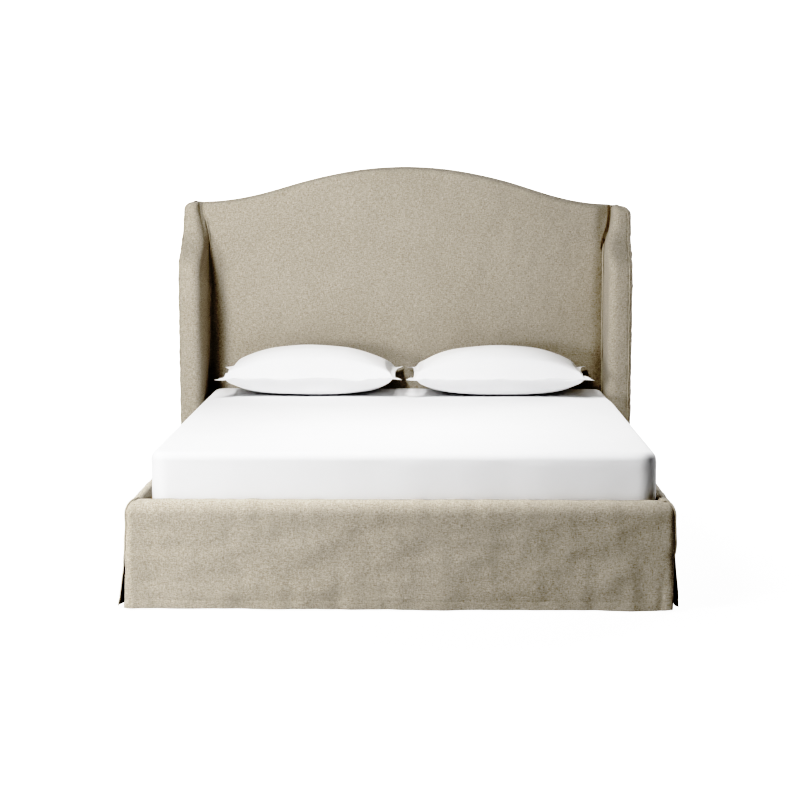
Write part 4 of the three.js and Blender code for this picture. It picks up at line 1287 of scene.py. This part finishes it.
fnt.links.new(f_em.outputs[0], f_mix.inputs[2])
fnt.links.new(f_mix.outputs[0], f_out.inputs[0])
floor.data.materials.append(fm)

world = bpy.data.worlds.new("studio")
scene.world = world
world.use_nodes = True
wn = world.node_tree
wn.nodes.clear()
wo = wn.nodes.new("ShaderNodeOutputWorld")
bg_light = wn.nodes.new("ShaderNodeBackground")
bg_seen = wn.nodes.new("ShaderNodeBackground")
mixw = wn.nodes.new("ShaderNodeMixShader")
lp = wn.nodes.new("ShaderNodeLightPath")
bg_light.inputs[0].default_value = (1, 1, 1, 1)
bg_light.inputs[1].default_value = 0.02
bg_seen.inputs[0].default_value = (1, 1, 1, 1)
bg_seen.inputs[1].default_value = 3.0
wn.links.new(lp.outputs["Is Camera Ray"], mixw.inputs[0])
wn.links.new(bg_light.outputs[0], mixw.inputs[1])
wn.links.new(bg_seen.outputs[0], mixw.inputs[2])
wn.links.new(mixw.outputs[0], wo.inputs[0])


def area(name, loc, target, size, power, size_y=None, spread=180, colour=(1, 1, 1)):
    L = bpy.data.lights.new(name, "AREA")
    L.energy = power
    L.color = colour
    L.shape = "RECTANGLE" if size_y else "SQUARE"
    L.size = size
    if size_y:
        L.size_y = size_y
    L.spread = math.radians(spread)
    o = link(bpy.data.objects.new(name, L))
    o.location = loc
    o.rotation_euler = (Vector(target) - Vector(loc)).to_track_quat("-Z", "Y").to_euler()
    return o


def around(az, el, d):
    """A place for a lamp, seen from the headboard's upper left corner."""
    az, el = math.radians(az), math.radians(el)
    return (-0.97 - d * math.sin(az), 0.85 - d * math.cos(az), 1.25 + d * math.tan(el))


area("key", around(21, 42, 3.5), (0, 0.2, 0.7), 1.09, 226)
top_lamp = area("overhead", (0, -0.50, 4.2), (0, -0.50, 0), 1.0, 13, spread=56)
bright = bpy.data.collections.new("top_lit")                                  # the pieces that face straight up
for o in (sheet, mattress, pillows["left"], pillows["right"], base["foot"][0], base["side_left"][0], base["side_right"][0]):
    bright.objects.link(o)
top_lamp.light_linking.receiver_collection = bright
area("low_left", (-2.8, -3.6, 0.9), (-0.7, -1.0, 0.3), 0.7, 82)
area("right_back", (3.7, 2.4, 1.9), (0.6, -0.2, 0.5), 1.6, 130)
area("back_soft", (-1.2, 5.6, 2.7), (0.0, 1.1, 0.8), 2.6, 230)

cam = bpy.data.cameras.new("camera")
cam.sensor_width = 36
cam.lens = 1707.17 / 800 * 36
cam.clip_end = 200
co = link(bpy.data.objects.new("camera", cam))
pitch, yaw = 0.1286, 0.0156
fwd = Vector((-math.sin(yaw) * math.cos(pitch), math.cos(yaw) * math.cos(pitch), -math.sin(pitch)))
co.location = (0.1046, -7.3631, 1.6072)
co.rotation_euler = fwd.to_track_quat("-Z", "Y").to_euler()
scene.camera = co
scene.view_settings.view_transform = "Standard"
scene.view_settings.look = "None"
scene.view_settings.exposure = 0
scene.view_settings.gamma = 1
# a photographic response: a little toe in the shadows and a soft shoulder in the whites
scene.view_settings.use_curve_mapping = True
cm = scene.view_settings.curve_mapping
cm.black_level = (0.03, 0.03, 0.03)
cm.white_level = (2.0, 2.0, 2.0)
curve = cm.curves[3]
for x, y in ((0.020, 0.003), (0.034, 0.010), (0.048, 0.036), (0.064, 0.078), (0.0863, 0.150), (0.137, 0.283), (0.2386, 0.50), (0.340, 0.67), (0.421, 0.77), (0.553, 0.865), (0.746, 0.94)):
    curve.points.new(x, y)
cm.update()
